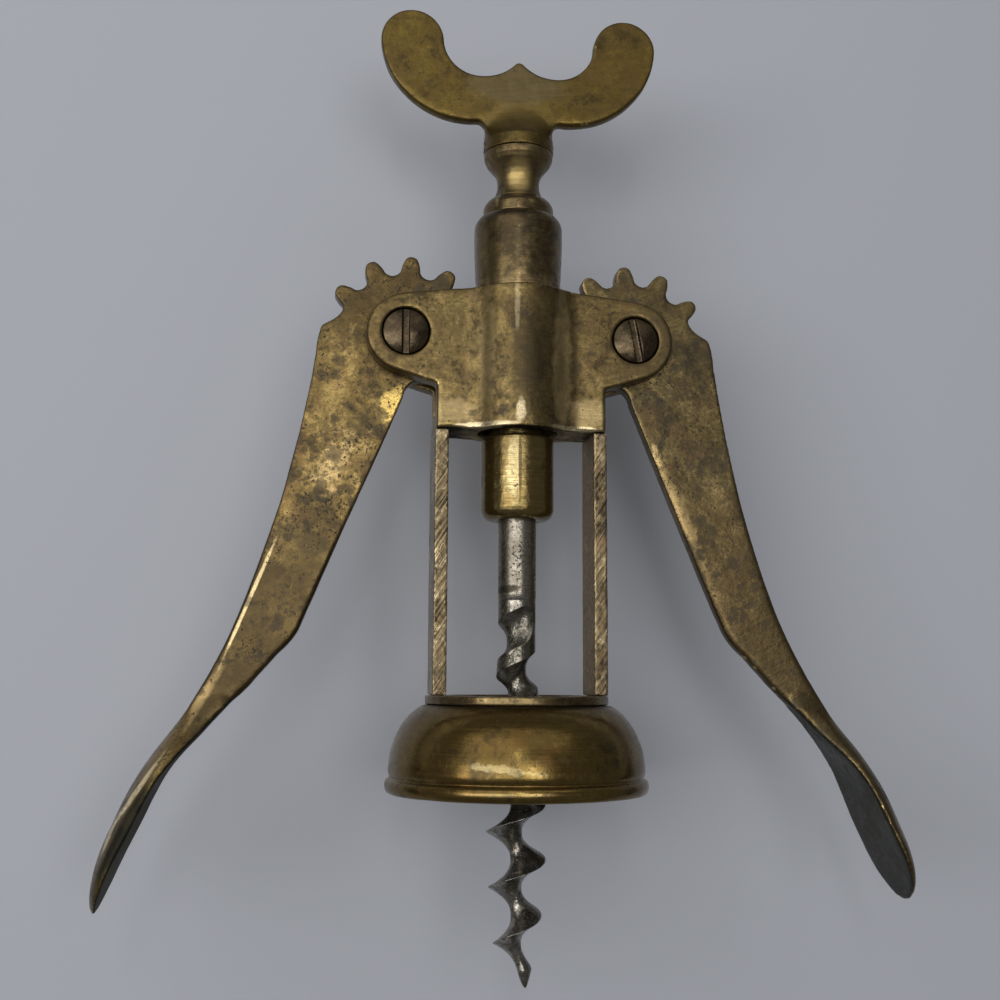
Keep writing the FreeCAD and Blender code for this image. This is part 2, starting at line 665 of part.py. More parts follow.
def worm_spindle():
    drop = WORM_PITCH / WORM_SECTIONS_PER_TURN
    count = math.ceil((WORM_TOP - WORM_TIP_Z) / drop)
    heights = [WORM_TOP + (WORM_TIP_Z + 0.05 - WORM_TOP) * step / count for step in range(count + 1)]
    worm = Part.makeLoft([worm_section(z) for z in heights], True, True)
    shank = rod(ROD_R, WORM_TOP, ROD_TOP).cut([key_pin(), ferrule_pin()])
    return shank.fuse(worm)


def domed_head(side):
    """A screw head in its counterbore, at the front (side -1) or the back (side 1)."""
    rim = Vector(SCREW_HEAD_R, side * SCREW_EDGE_Y, 0)
    crown = Vector(0, side * SCREW_CROWN_Y, 0)
    dome_y = SCREW_CROWN_Y - (SCREW_CROWN_Y - SCREW_EDGE_Y) * 0.25
    seat_rim = Vector(SCREW_HEAD_R, side * SCREW_SEAT_Y, 0)
    seat = Vector(0, side * SCREW_SEAT_Y, 0)
    dome = arc(crown, Vector(SCREW_HEAD_R / 2, side * dome_y, 0), rim)
    section = [dome, line(rim, seat_rim), line(seat_rim, seat), line(seat, crown)]
    head = face_of(section).revolve(Vector(), Vector(0, 1, 0), 360)
    head.translate(flat(PIVOT_X, PIVOT_Z))
    return head


def screw_slot(side, tilt):
    """The screwdriver slot across a domed head, upright when the tilt is 0 degrees."""
    ends = sorted([side * (SCREW_CROWN_Y - SCREW_SLOT_DEPTH), side * (SCREW_CROWN_Y + 1)])
    half = SCREW_SLOT_WIDTH / 2
    slot = block((-half, ends[0], -SCREW_HEAD_R), (half, ends[1], SCREW_HEAD_R))
    slot.rotate(Vector(), Vector(0, 1, 0), tilt)
    slot.translate(flat(PIVOT_X, PIVOT_Z))
    return slot


def pivot_screw(tilt):
    shank = front_bar(PIVOT_X, PIVOT_Z, SCREW_SHANK_R, -SCREW_SEAT_Y, SCREW_SHANK_END)
    return domed_head(-1).fuse(shank).cut(screw_slot(-1, tilt))


def pivot_nut():
    barrel = front_bar(PIVOT_X, PIVOT_Z, NUT_R, RUNNING_CLEARANCE - SCREW_SEAT_Y, SCREW_SEAT_Y)
    bore = front_bar(PIVOT_X, PIVOT_Z, SCREW_SHANK_R, -SCREW_SEAT_Y, NUT_BORE_END)
    return domed_head(1).fuse(barrel).cut([bore, screw_slot(1, RIGHT_SLOT_TILT)])


PARTS = {
    "head_casting": head_casting(),
    "guide_sleeve": guide_sleeve(),
    "left_strut": mirrored(right_strut()),
    "right_strut": right_strut(),
    "base_ring": base_ring(),
    "bell": bell(),
    "left_lever": mirrored(right_lever()),
    "right_lever": right_lever(),
    "left_pivot_screw": mirrored(pivot_screw(0)),
    "right_pivot_screw": pivot_screw(RIGHT_SLOT_TILT),
    "left_pivot_nut": mirrored(pivot_nut()),
    "right_pivot_nut": pivot_nut(),
    "rack_sleeve": rack_sleeve(),
    "thrust_collar": thrust_collar(),
    "neck_spool": neck_spool(),
    "key_handle": key_handle(),
    "key_pin": key_pin(),
    "lower_ferrule": lower_ferrule(),
    "ferrule_pin": ferrule_pin(),
    "worm_spindle": worm_spindle(),
}

os.makedirs("parts", exist_ok=True)
for name, shape in PARTS.items():
    shape.exportStep("parts/" + name + ".step")
    print(name, shape.ShapeType, len(shape.Solids), shape.isValid(), round(shape.Volume, 1))
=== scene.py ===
"""Wing corkscrew in aged brass with a steel worm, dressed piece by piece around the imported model."""
import math

import bmesh
import bpy
from mathutils import Matrix, Vector


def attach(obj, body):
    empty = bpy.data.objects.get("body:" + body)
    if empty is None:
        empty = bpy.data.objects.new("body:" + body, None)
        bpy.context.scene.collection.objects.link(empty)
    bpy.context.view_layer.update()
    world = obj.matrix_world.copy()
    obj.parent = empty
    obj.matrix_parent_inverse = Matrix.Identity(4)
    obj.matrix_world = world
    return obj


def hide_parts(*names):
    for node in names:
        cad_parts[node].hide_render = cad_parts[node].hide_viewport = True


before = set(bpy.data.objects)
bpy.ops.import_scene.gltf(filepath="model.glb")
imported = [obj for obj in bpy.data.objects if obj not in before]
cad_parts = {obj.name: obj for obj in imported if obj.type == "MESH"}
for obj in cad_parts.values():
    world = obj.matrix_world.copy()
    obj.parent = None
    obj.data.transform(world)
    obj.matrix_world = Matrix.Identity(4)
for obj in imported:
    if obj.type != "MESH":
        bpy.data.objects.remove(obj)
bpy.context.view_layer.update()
MM = 0.001


# ---- Bell --------------------------------------------------------------------------------------------------
# A brass cup turned on a lathe, which goes over the bottle's neck. Its flat inner shelf rests on the lip, and
# a bead turned round the rim stiffens it. Years of handling have polished it more than the castings.

BELL_CURVE_X, BELL_WIDEST_Z, BELL_HALF_WIDTH, BELL_HALF_HEIGHT = 12.0, -8.3, 8.65, 11.3
BELL_TOP, BELL_WALL_STEPS = 2.2, 24
BELL_RIM = [(20.5, -8.9), (20.35, -9.15), (20.6, -9.35), (20.95, -9.55), (21.15, -9.95), (21.2, -10.5),
            (21.1, -11.1), (20.8, -11.6), (20.4, -11.78)]
BELL_INSIDE = [(19.5, -11.78), (18.9, -9.1), (18.6, -7.4), (18.1, -5.4), (17.4, -3.2), (16.5, -1.2),
               (15.6, 0.0), (13.4, 0.0), (13.4, BELL_TOP)]
LATHE_STEPS = 180
CLEAR_CORNER, LONGEST_ROUNDING = math.radians(20), 0.45
DENT_LAYERS = ((1.0, 1.0), (0.3, 0.35))
DENT_LEVEL = 0.9
SEED_SHIFT_X, SEED_SHIFT_Y = 13.7, 7.3


def spaced(points, step):
    """A closed outline with points at most a step apart."""
    out = []
    for a, b in zip(points, points[1:] + points[:1]):
        count = max(1, math.ceil(math.dist(a, b) / step))
        out += [tuple(p + (q - p) * i / count for p, q in zip(a, b)) for i in range(count)]
    return out


def eased(points, reach):
    """A closed outline with each clear corner rounded."""
    out = []
    for before, corner, after in zip(points[-1:] + points[:-1], points, points[1:] + points[:1]):
        p, c, q = Vector(before), Vector(corner), Vector(after)
        into, away = c - p, q - c
        if into.angle(away) < CLEAR_CORNER:
            out.append(corner)
            continue
        start = c - into.normalized() * min(reach, into.length * LONGEST_ROUNDING)
        end = c + away.normalized() * min(reach, away.length * LONGEST_ROUNDING)
        for share in (0, 0.25, 0.5, 0.75, 1):
            out.append(tuple(start * (1 - share) ** 2 + c * 2 * share * (1 - share) + end * share ** 2))
    return out


def new_piece(name, points, faces):
    """A smooth-shaded object from points in millimetres."""
    mesh = bpy.data.meshes.new(name)
    mesh.from_pydata([[value * MM for value in point] for point in points], [], faces)
    work = bmesh.new()
    work.from_mesh(mesh)
    bmesh.ops.recalc_face_normals(work, faces=work.faces)
    work.to_mesh(mesh)
    work.free()
    mesh.shade_smooth()
    piece = bpy.data.objects.new(name, mesh)
    bpy.context.scene.collection.objects.link(piece)
    return piece


def lathe(name, outline, corner, step=0.45):
    """A ring or cup turned about the spindle's axis from a closed (radius, height) outline."""
    outline = spaced(eased(outline, corner), step)
    count = len(outline)
    points, faces = [], []
    for turn in range(LATHE_STEPS):
        angle = 2 * math.pi * turn / LATHE_STEPS
        points += [(r * math.cos(angle), r * math.sin(angle), z) for r, z in outline]
        here, there = turn * count, (turn + 1) % LATHE_STEPS * count
        for i in range(count):
            after = (i + 1) % count
            faces.append((here + i, here + after, there + after, there + i))
    return new_piece(name, points, faces)


def settle(piece):
    """Fixes the result of a piece's modifiers as its own mesh."""
    made = bpy.data.meshes.new_from_object(piece.evaluated_get(bpy.context.evaluated_depsgraph_get()))
    piece.modifiers.clear()
    old, piece.data = piece.data, made
    bpy.data.meshes.remove(old)
    made.name = piece.name
    made.shade_smooth()


def dent(piece, depth, size):
    """Shallow unevenness from use, as real shape that only goes inwards: depth and size in millimetres."""
    for finer, share in DENT_LAYERS:
        texture = bpy.data.textures.new(piece.name + " dents", "CLOUDS")
        texture.noise_scale = size * finer * MM
        texture.noise_depth = 1
        push = piece.modifiers.new("dents", "DISPLACE")
        push.texture = texture
        push.texture_coords = "LOCAL"
        push.mid_level = DENT_LEVEL
        push.strength = 2 * depth * share * MM
    settle(piece)


def add(tree, kind, inputs=None, **settings):
    """One shader node, its inputs set to values or joined to other nodes' outputs."""
    node = tree.nodes.new("ShaderNode" + kind)
    for name, value in settings.items():
        setattr(node, name, value)
    for name, value in (inputs or {}).items():
        if isinstance(value, bpy.types.NodeSocket):
            tree.links.new(value, node.inputs[name])
        else:
            node.inputs[name].default_value = value
    return node


def calc(tree, operation, *values):
    """The output of a maths node."""
    return add(tree, "Math", dict(enumerate(values)), operation=operation).outputs[0]


def vector(tree, x=0.0, y=0.0, z=0.0):
    """A vector made of three numbers."""
    return add(tree, "CombineXYZ", {0: x, 1: y, 2: z}).outputs[0]


def vector_calc(tree, operation, a, b):
    """The output of a vector maths node."""
    return add(tree, "VectorMath", {0: a, 1: b}, operation=operation).outputs[0]


def resized(tree, value, factor):
    """A vector or a colour times a number."""
    return add(tree, "VectorMath", {0: value, 3: factor}, operation="SCALE").outputs[0]


def turned(tree, place, tilt):
    """A place turned about the axis that points at the viewer."""
    turn = {"Vector": place, "Rotation": vector(tree, y=tilt)}
    return add(tree, "VectorRotate", turn, rotation_type="EULER_XYZ").outputs[0]


def ramp(tree, value, low, high, start=0.0, end=1.0):
    """A value eased from one level to another as its input goes from low to high."""
    given = {"Value": value, "From Min": low, "From Max": high, "To Min": start, "To Max": end}
    return add(tree, "MapRange", given, interpolation_type="SMOOTHSTEP").outputs["Result"]


def blend(tree, share, a, b):
    """One colour mixed into another."""
    return add(tree, "Mix", {0: share, 6: a, 7: b}, data_type="RGBA").outputs[2]


def effect(name, inputs, outputs):
    """An empty node group and its two ends. Each input has a starting value, which also gives its kind."""
    group = bpy.data.node_groups.new(name, "ShaderNodeTree")
    kinds = {float: "NodeSocketFloat", tuple: "NodeSocketColor"}
    for label, value in inputs.items():
        socket = group.interface.new_socket(label, in_out="INPUT", socket_type=kinds[type(value)])
        socket.default_value = value
    for label, value in outputs.items():
        group.interface.new_socket(label, in_out="OUTPUT", socket_type=kinds[type(value)])
    return group, group.nodes.new("NodeGroupInput").outputs, group.nodes.new("NodeGroupOutput").inputs


def place_in_mm(tree, seed):
    """The surface point in millimetres, shifted by a seed so that no two pieces match."""
    in_mm = resized(tree, add(tree, "TexCoord").outputs["Object"], 1 / MM)
    x, y = calc(tree, "MULTIPLY", seed, SEED_SHIFT_X), calc(tree, "MULTIPLY", seed, SEED_SHIFT_Y)
    return vector_calc(tree, "ADD", in_mm, vector(tree, x, y, seed))


def cloud(tree, place, scale, detail, rough, bend=0.0):
    """Soft noise from 0 to 1, at so many patches a millimetre."""
    given = {"Vector": place, "Scale": scale, "Detail": detail, "Roughness": rough, "Distortion": bend}
    return add(tree, "TexNoise", given).outputs["Fac"]


def tarnish_effect():
    """Clean, dull and dark patches that run into each other, some of them redder, with a fine grain."""
    small_per_patch, red_per_patch, grains_per_mm = 5.5, 1.7, 2.6
    broad_gain, small_gain, reddest = 2.4, 1.5, 0.7
    tones = {"Bright": (0.3, 0.2, 0.1, 1.0), "Dull": (0.2, 0.15, 0.07, 1.0),
             "Dark": (0.1, 0.07, 0.03, 1.0), "Warm": (0.2, 0.12, 0.06, 1.0)}
    numbers = {"Patch": 6.0, "Tone": 0.0, "Contrast": 1.0, "Grain": 0.3, "Seed": 0.0}
    tree, given, out = effect("tarnish", tones | numbers, {"Color": (0.0,), "Clean": 0.0})
    place = place_in_mm(tree, given["Seed"])
    scales = [calc(tree, "DIVIDE", count, given["Patch"]) for count in (1.0, small_per_patch, red_per_patch)]
    broad = cloud(tree, place, scales[0], detail=6.0, rough=0.62, bend=0.6)
    small = cloud(tree, place, scales[1], detail=5.0, rough=0.68)
    red = cloud(tree, place, scales[2], detail=4.0, rough=0.6, bend=0.4)
    spread = calc(tree, "MULTIPLY", calc(tree, "SUBTRACT", broad, 0.5), broad_gain)
    spread = calc(tree, "MULTIPLY_ADD", calc(tree, "SUBTRACT", small, 0.5), small_gain, spread)
    level = calc(tree, "MULTIPLY_ADD", spread, given["Contrast"], calc(tree, "ADD", given["Tone"], 0.5))
    colour = blend(tree, ramp(tree, level, 0.0, 0.5), given["Dark"], given["Dull"])
    colour = blend(tree, ramp(tree, level, 0.5, 1.0), colour, given["Bright"])
    colour = blend(tree, ramp(tree, red, 0.48, 0.68, 0.0, reddest), colour, given["Warm"])
    speck = calc(tree, "SUBTRACT", cloud(tree, place, grains_per_mm, detail=5.0, rough=0.75), 0.5)
    gain = calc(tree, "MULTIPLY_ADD", speck, given["Grain"], 1.0)
    tree.links.new(resized(tree, colour, gain), out["Color"])
    tree.links.new(ramp(tree, level, 0.0, 1.0), out["Clean"])
    return tree


def stains_effect():
    """Round dark stains, in crowds, with clear edges and thinner middles."""
    crowds_per_mm, ripples_per_mm, ripple_size = 0.10, 0.8, 2.6
    spared, growth, widest = 0.75, 1.6, 0.5
    edge_width, edge_share, fill_width, fill_share = 0.07, 0.65, 0.35, 0.35
    tree, given, out = effect("stains", {"Amount": 0.4, "Size": 2.5, "Seed": 0.0}, {"Mask": 0.0})
    place = place_in_mm(tree, given["Seed"])
    crowd = ramp(tree, cloud(tree, place, crowds_per_mm, detail=3.0, rough=0.55), 0.36, 0.64)
    ripples = {"Vector": place, "Scale": ripples_per_mm, "Detail": 4.0, "Roughness": 0.7}
    shift = resized(tree, add(tree, "TexNoise", ripples).outputs["Color"], ripple_size)
    crooked = vector_calc(tree, "ADD", place, shift)
    masks = []
    for finer, strength in ((1.0, 1.0), (2.6, 0.85)):
        scale = calc(tree, "DIVIDE", finer, given["Size"])
        cells = add(tree, "TexVoronoi", {"Vector": crooked, "Scale": scale})
        chance = add(tree, "SeparateColor", {0: cells.outputs["Color"]}).outputs[0]
        wanted = calc(tree, "MULTIPLY", crowd, given["Amount"])
        reach = calc(tree, "SUBTRACT", wanted, calc(tree, "MULTIPLY", chance, spared))
        reach = calc(tree, "MINIMUM", calc(tree, "MULTIPLY", reach, growth), widest)
        inside = calc(tree, "SUBTRACT", reach, cells.outputs["Distance"])
        edge = ramp(tree, inside, 0.0, edge_width, 0.0, edge_share * strength)
        fill = ramp(tree, inside, 0.0, fill_width, 0.0, fill_share * strength)
        masks.append(calc(tree, "ADD", edge, fill))
    tree.links.new(calc(tree, "MAXIMUM", *masks), out["Mask"])
    return tree


def pits_effect():
    """Small deep pits, gathered in patches."""
    crowds_per_mm, pits_per_mm = 0.13, 1.9
    fewest, gain, rim_width = 0.74, -0.14, 0.05
    tree, given, out = effect("pits", {"Amount": 0.4, "Seed": 0.0}, {"Mask": 0.0})
    place = place_in_mm(tree, given["Seed"])
    crowd = ramp(tree, cloud(tree, place, crowds_per_mm, detail=3.0, rough=0.6), 0.36, 0.64, -0.06, 0.07)
    point = cloud(tree, place, pits_per_mm, detail=2.0, rough=0.55, bend=0.3)
    edge = calc(tree, "SUBTRACT", calc(tree, "MULTIPLY_ADD", given["Amount"], gain, fewest), crowd)
    tree.links.new(ramp(tree, point, edge, calc(tree, "ADD", edge, rim_width)), out["Mask"])
    return tree


def rub_effect():
    """Where corners are rubbed bright, broken up as hands leave it, and where dirt stays in the hollows."""
    breaks_per_mm, hollow, level = 0.35, 0.41, 0.485
    numbers = {"Start": 0.52, "Reach": 0.05, "Seed": 0.0}
    tree, given, out = effect("rubbed edges", numbers, {"Mask": 0.0, "Dirt": 0.0})
    place = place_in_mm(tree, given["Seed"])
    sharp = add(tree, "NewGeometry").outputs["Pointiness"]
    ridge = ramp(tree, sharp, given["Start"], calc(tree, "ADD", given["Start"], given["Reach"]))
    broken = ramp(tree, cloud(tree, place, breaks_per_mm, detail=4.0, rough=0.62), 0.34, 0.6, 0.1, 1.0)
    tree.links.new(calc(tree, "MULTIPLY", ridge, broken), out["Mask"])
    tree.links.new(ramp(tree, sharp, hollow, level, 1.0, 0.0), out["Dirt"])
    return tree


def scratches_effect():
    """A few long thin scratches, most of them slanting."""
    patches_per_mm, lines_along, lines_deep = 0.3, 0.022, 0.2
    core, width = 0.004, 0.016
    tree, given, out = effect("scratches", {"Amount": 0.5, "Tilt": 0.8, "Seed": 0.0}, {"Mask": 0.0})
    place = place_in_mm(tree, given["Seed"])
    masks = []
    for lean, lines_across in ((0.0, 0.7), (0.45, 0.4)):
        slanted = turned(tree, place, calc(tree, "ADD", given["Tilt"], lean))
        line = vector_calc(tree, "MULTIPLY", slanted, (lines_along, lines_deep, lines_across))
        off = calc(tree, "SUBTRACT", cloud(tree, line, 1.0, detail=0.0, rough=0.5), 0.5)
        masks.append(ramp(tree, calc(tree, "ABSOLUTE", off), core, width, 1.0, 0.0))
    both = calc(tree, "MAXIMUM", *masks)
    gate = ramp(tree, cloud(tree, place, patches_per_mm, detail=4.0, rough=0.7), 0.54, 0.64)
    tree.links.new(calc(tree, "MULTIPLY", calc(tree, "MULTIPLY", both, gate), given["Amount"]), out["Mask"])
    return tree


def rings_effect():
    """The fine rings that a lathe tool leaves."""
    flat_rings, waver, least_radius = 0.6, 0.7, 0.1
    tree, given, out = effect("lathe rings", {"Pitch": 0.25, "Seed": 0.0}, {"Height": 0.0})
    x, y, z = add(tree, "SeparateXYZ", {0: place_in_mm(tree, 0.0)}).outputs
    radius = calc(tree, "ADD", calc(tree, "MULTIPLY", x, x), calc(tree, "MULTIPLY", y, y))
    radius = calc(tree, "MAXIMUM", calc(tree, "SQRT", radius), least_radius)
    along = calc(tree, "DIVIDE", calc(tree, "MULTIPLY_ADD", radius, flat_rings, z), given["Pitch"])
    x, y = calc(tree, "DIVIDE", x, radius), calc(tree, "DIVIDE", y, radius)
    x, y = [calc(tree, "MULTIPLY_ADD", part, waver, given["Seed"]) for part in (x, y)]
    tree.links.new(cloud(tree, vector(tree, x, y, along), 1.0, detail=3.0, rough=0.7), out["Height"])
    return tree


def wear_and_light_effect():
    """A worn place or painted light or shade: an oval seen from the front, in millimetres, with a ragged
    edge.

    A facing of 1 or -1 keeps it to the surfaces that look right or left.
    """
    tears_per_mm, right_through, full, faded = 0.5, 1000.0, 0.55, 1.1
    oval = {"Across": 0.0, "Up": 0.0, "Length": 5.0, "Width": 3.0}
    shape = {"Tilt": 0.0, "Ragged": 1.0, "Facing": 0.0}
    tree, given, out = effect("wear and light place", oval | shape, {"Mask": 0.0})
    place = place_in_mm(tree, 0.0)
    off = vector_calc(tree, "SUBTRACT", place, vector(tree, given["Across"], 0.0, given["Up"]))
    size = vector(tree, given["Length"], right_through, given["Width"])
    share = vector_calc(tree, "DIVIDE", turned(tree, off, given["Tilt"]), size)
    away = add(tree, "VectorMath", {0: share}, operation="LENGTH").outputs["Value"]
    uneven = calc(tree, "SUBTRACT", cloud(tree, place, tears_per_mm, detail=5.0, rough=0.65), 0.5)
    away = calc(tree, "MULTIPLY_ADD", uneven, given["Ragged"], away)
    sideways = add(tree, "SeparateXYZ", {0: add(tree, "TexCoord").outputs["Normal"]}).outputs[0]
    on_side = ramp(tree, calc(tree, "MULTIPLY", sideways, given["Facing"]), 0.35, 0.6)
    any_side = calc(tree, "SUBTRACT", 1.0, calc(tree, "ABSOLUTE", given["Facing"]))
    on_side = calc(tree, "MAXIMUM", on_side, any_side)
    tree.links.new(calc(tree, "MULTIPLY", ramp(tree, away, full, faded, 1.0, 0.0), on_side), out["Mask"])
    return tree


TARNISH, STAINS, PITS, RUB = tarnish_effect(), stains_effect(), pits_effect(), rub_effect()
SCRATCHES, RINGS, WEAR_AND_LIGHT = scratches_effect(), rings_effect(), wear_and_light_effect()

# What each kind of wear does: how far its colour covers, and how it changes roughness, metal and height.
COVERS = {"blot": 0.62, "pit": 0.8, "line": 0.7, "corner": 1.0, "grime": 1.0}
ROUGHENS = {"blot": 0.14, "pit": 0.2, "corner": -0.12, "grime": 0.25, "cut": 0.25}
DULLS = {"blot": -0.25, "pit": -0.35, "grime": -0.5}
RAISES = {"blot": -0.12, "pit": -0.9, "line": -0.5}
BLOT_SHADE, PIT_SHADE, LINE_SHADE, GRIME_SHADE = 0.8, 0.45, 1.6, 0.35
METAL, CLEAN_METAL, SMOOTHEST = 0.85, 0.1, 0.12
WAVES_PER_MM, WAVE_HEIGHT, BUMP_STRENGTH = 1.1, 1.6, 0.7


def put(tree, group, **inputs):
    """A shared effect placed in a material, with its own values."""
    node = tree.nodes.new("ShaderNodeGroup")
    node.node_tree = group
    for label, value in inputs.items():
        node.inputs[label.title()].default_value = value
    return node.outputs


def shaded(colour, factor):
    """A colour made lighter or darker."""
    return tuple(min(1.0, part * factor) for part in colour[:3]) + (1.0,)


def changed(tree, value, wear, changes):
    """A value changed by each kind of wear in turn."""
    for kind, change in changes.items():
        value = calc(tree, "MULTIPLY_ADD", wear[kind], change, value)
    return value


def wear_and_light_mark(across, up, length, width, tint, share, change, **shape):
    """A worn place or painted light or shade: middle and size in millimetres, colour, share and added
    roughness.
    """
    return {"across": across, "up": up, "length": length, "width": width} | shape, tint, share, change


def old_metal(name, tones, seed, marks, patch=7.0, tone=0.0, contrast=1.0, grain=0.5, stain=0.4,
              stain_size=2.5, pitting=0.3, scratch=0.4, rub=0.7, edge=2.2, dirt=0.6, cut_shade=0.5,
              roughness=0.4, gloss=0.1, depth=0.03, wear_and_light=()):
    """Old brass or steel in bright, dull, dark and warm tones, with wear, tool marks and any painted light
    and shade.
    """
    bright, dull, dark, warm = tones
    tool, marking = marks
    material = bpy.data.materials.new(name)
    material.use_nodes = True
    tree = material.node_tree
    shader = tree.nodes["Principled BSDF"]
    skin = put(tree, TARNISH, bright=bright, dull=dull, dark=dark, warm=warm, patch=patch, tone=tone,
               contrast=contrast, grain=grain, seed=seed)
    edges = put(tree, RUB, seed=seed)
    mark = put(tree, tool, seed=seed, **marking)["Height"]
    wear = {"blot": put(tree, STAINS, amount=stain, size=stain_size, seed=seed + 3)["Mask"],
            "pit": put(tree, PITS, amount=pitting, seed=seed)["Mask"],
            "line": put(tree, SCRATCHES, amount=scratch, seed=seed)["Mask"],
            "corner": calc(tree, "MULTIPLY", edges["Mask"], rub),
            "grime": calc(tree, "MULTIPLY", edges["Dirt"], dirt),
            "cut": calc(tree, "SUBTRACT", mark, 0.5)}
    tints = {"blot": shaded(dark, BLOT_SHADE), "pit": shaded(dark, PIT_SHADE),
             "line": shaded(bright, LINE_SHADE), "corner": shaded(bright, edge),
             "grime": shaded(dark, GRIME_SHADE)}
    colour = skin["Color"]
    rough = calc(tree, "MULTIPLY_ADD", skin["Clean"], -gloss, roughness + gloss / 2)
    # Marked places: wear, and painted highlights and painted shade.
    for where, tint, share, change in wear_and_light:
        mask = calc(tree, "MULTIPLY", put(tree, WEAR_AND_LIGHT, **where)["Mask"], share)
        colour = blend(tree, mask, colour, tint)
        rough = calc(tree, "MULTIPLY_ADD", mask, change, rough)
    for kind, tint in tints.items():
        colour = blend(tree, calc(tree, "MULTIPLY", wear[kind], COVERS[kind]), colour, tint)
    shade = calc(tree, "MULTIPLY_ADD", wear["cut"], cut_shade, 1.0)
    tree.links.new(resized(tree, colour, shade), shader.inputs["Base Color"])
    rough = changed(tree, rough, wear, ROUGHENS)
    tree.links.new(calc(tree, "MAXIMUM", rough, SMOOTHEST), shader.inputs["Roughness"])
    metal = changed(tree, calc(tree, "MULTIPLY_ADD", skin["Clean"], CLEAN_METAL, METAL), wear, DULLS)
    tree.links.new(calc(tree, "MINIMUM", calc(tree, "MAXIMUM", metal, 0.0), 1.0), shader.inputs["Metallic"])
    waves = cloud(tree, place_in_mm(tree, seed), WAVES_PER_MM, detail=5.0, rough=0.62)
    height = changed(tree, calc(tree, "MULTIPLY_ADD", waves, WAVE_HEIGHT, mark), wear, RAISES)
    bump = add(tree, "Bump", {"Height": height, "Strength": BUMP_STRENGTH, "Distance": depth * MM})
    tree.links.new(bump.outputs["Normal"], shader.inputs["Normal"])
    return material


def dress(piece, material, body, slot, *nodes):
    """A finished piece takes its material, rides on its body and stands for its solids."""
    piece.data.materials.clear()
    piece.data.materials.append(material)
    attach(piece, body)
    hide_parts(*nodes)


def bell_outline():
    """The bell's section: its curved wall, the rim's bead and the inside."""
    wall = []
    for step in range(BELL_WALL_STEPS + 1):
        z = BELL_TOP + (BELL_WIDEST_Z - BELL_TOP) * step / BELL_WALL_STEPS
        rise = (z - BELL_WIDEST_Z) / BELL_HALF_HEIGHT
        wall.append((BELL_CURVE_X + BELL_HALF_WIDTH * math.sqrt(1 - rise ** 2), z))
    return wall + BELL_RIM + BELL_INSIDE


BELL_TONES = ((0.182, 0.122, 0.037, 1.0), (0.122, 0.079, 0.021, 1.0),
              (0.05, 0.034, 0.012, 1.0), (0.135, 0.074, 0.021, 1.0))
# Painted highlights on smoother bands: a broken streak near the widest part and a line along the rim's bead.
# A dark line round the top, in the joint under the base ring's flange, is partly dirt and partly painted
# shade.
bell_highlights_and_shade = [
    wear_and_light_mark(-4.2, -6.9, 6.2, 0.6, (0.42, 0.34, 0.17, 1.0), 0.3, -0.08, tilt=-0.12, ragged=4.0),
    wear_and_light_mark(-3.0, -10.4, 9.0, 0.3, (0.36, 0.27, 0.12, 1.0), 0.28, -0.1, ragged=0.5),
    wear_and_light_mark(0.0, 2.1, 22.0, 0.45, (0.03, 0.022, 0.01, 1.0), 0.85, 0.2, ragged=0.3)]
bell_brass = old_metal("bell brass", BELL_TONES, 1.0, (RINGS, {"pitch": 0.22}), patch=8.0, contrast=1.1,
                       stain=0.35, pitting=0.2, scratch=0.3, rub=0.5, cut_shade=0.4, roughness=0.24,
                       gloss=0.12, depth=0.018, wear_and_light=bell_highlights_and_shade)
bell = lathe("bell_cup", bell_outline(), corner=0.3)
dent(bell, depth=0.06, size=7.0)
dress(bell, bell_brass, "frame", "polished_brass", "bell")


# ---- Base ring ---------------------------------------------------------------------------------------------
# A turned brass collar pressed into the top of the bell. The cork comes up through it, and the struts'
# tongues are brazed into its flange.

RING_OUTLINE = [(12.0, 0.6), (13.4, 0.6), (13.4, 2.2), (14.85, 2.2), (14.85, 3.7), (12.0, 3.7)]
TURNED = ((0.185, 0.135, 0.063, 1.0), (0.112, 0.079, 0.034, 1.0),
          (0.046, 0.033, 0.015, 1.0), (0.119, 0.076, 0.033, 1.0))
turned_brass = old_metal("turned brass", TURNED, 2.0, (RINGS, {"pitch": 0.3}), patch=6.0, tone=-0.14,
                         stain=0.35, pitting=0.2, roughness=0.26, depth=0.018)
base_ring = lathe("base_collar", RING_OUTLINE, corner=0.35, step=0.3)
dent(base_ring, depth=0.03, size=5.0)
dress(base_ring, turned_brass, "frame", "turned_brass", "base_ring")


# ---- Struts ------------------------------------------------------------------------------------------------
# Two flat brass bars with a tongue at each end, brazed between the ring and the head. Their faces were
# dressed with a coarse file, and its slanting cuts still shine.


def strokes_effect():
    """Straight marks from a file or a brush, long one way and fine the other."""
    numbers = {"Along": 0.12, "Across": 5.0, "Tilt": 0.0, "Seed": 0.0}
    tree, given, out = effect("file strokes", numbers, {"Height": 0.0})
    place = turned(tree, place_in_mm(tree, given["Seed"]), given["Tilt"])
    stretch = vector(tree, given["Along"], given["Across"], given["Across"])
    line = vector_calc(tree, "MULTIPLY", place, stretch)
    tree.links.new(cloud(tree, line, 1.0, detail=3.0, rough=0.65), out["Height"])
    return tree


def rub_down(piece, rounds, group=""):
    """Rubs a piece's corners soft in so many rounds, all over or as far as a group of its points says."""
    rubbed = piece.modifiers.new("rubbed corners", "SMOOTH")
    rubbed.factor = 0.5
    rubbed.iterations = rounds
    rubbed.vertex_group = group
    settle(piece)


def worn_copy(name, node, grid, rounds):
    """A piece in the shape of a solid, remade as a fine even mesh and rubbed down."""
    piece = bpy.data.objects.new(name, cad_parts[node].data.copy())
    bpy.context.scene.collection.objects.link(piece)
    piece.data.materials.clear()
    remesh = piece.modifiers.new("even mesh", "REMESH")
    remesh.mode = "VOXEL"
    remesh.voxel_size = grid * MM
    rub_down(piece, rounds)
    return piece


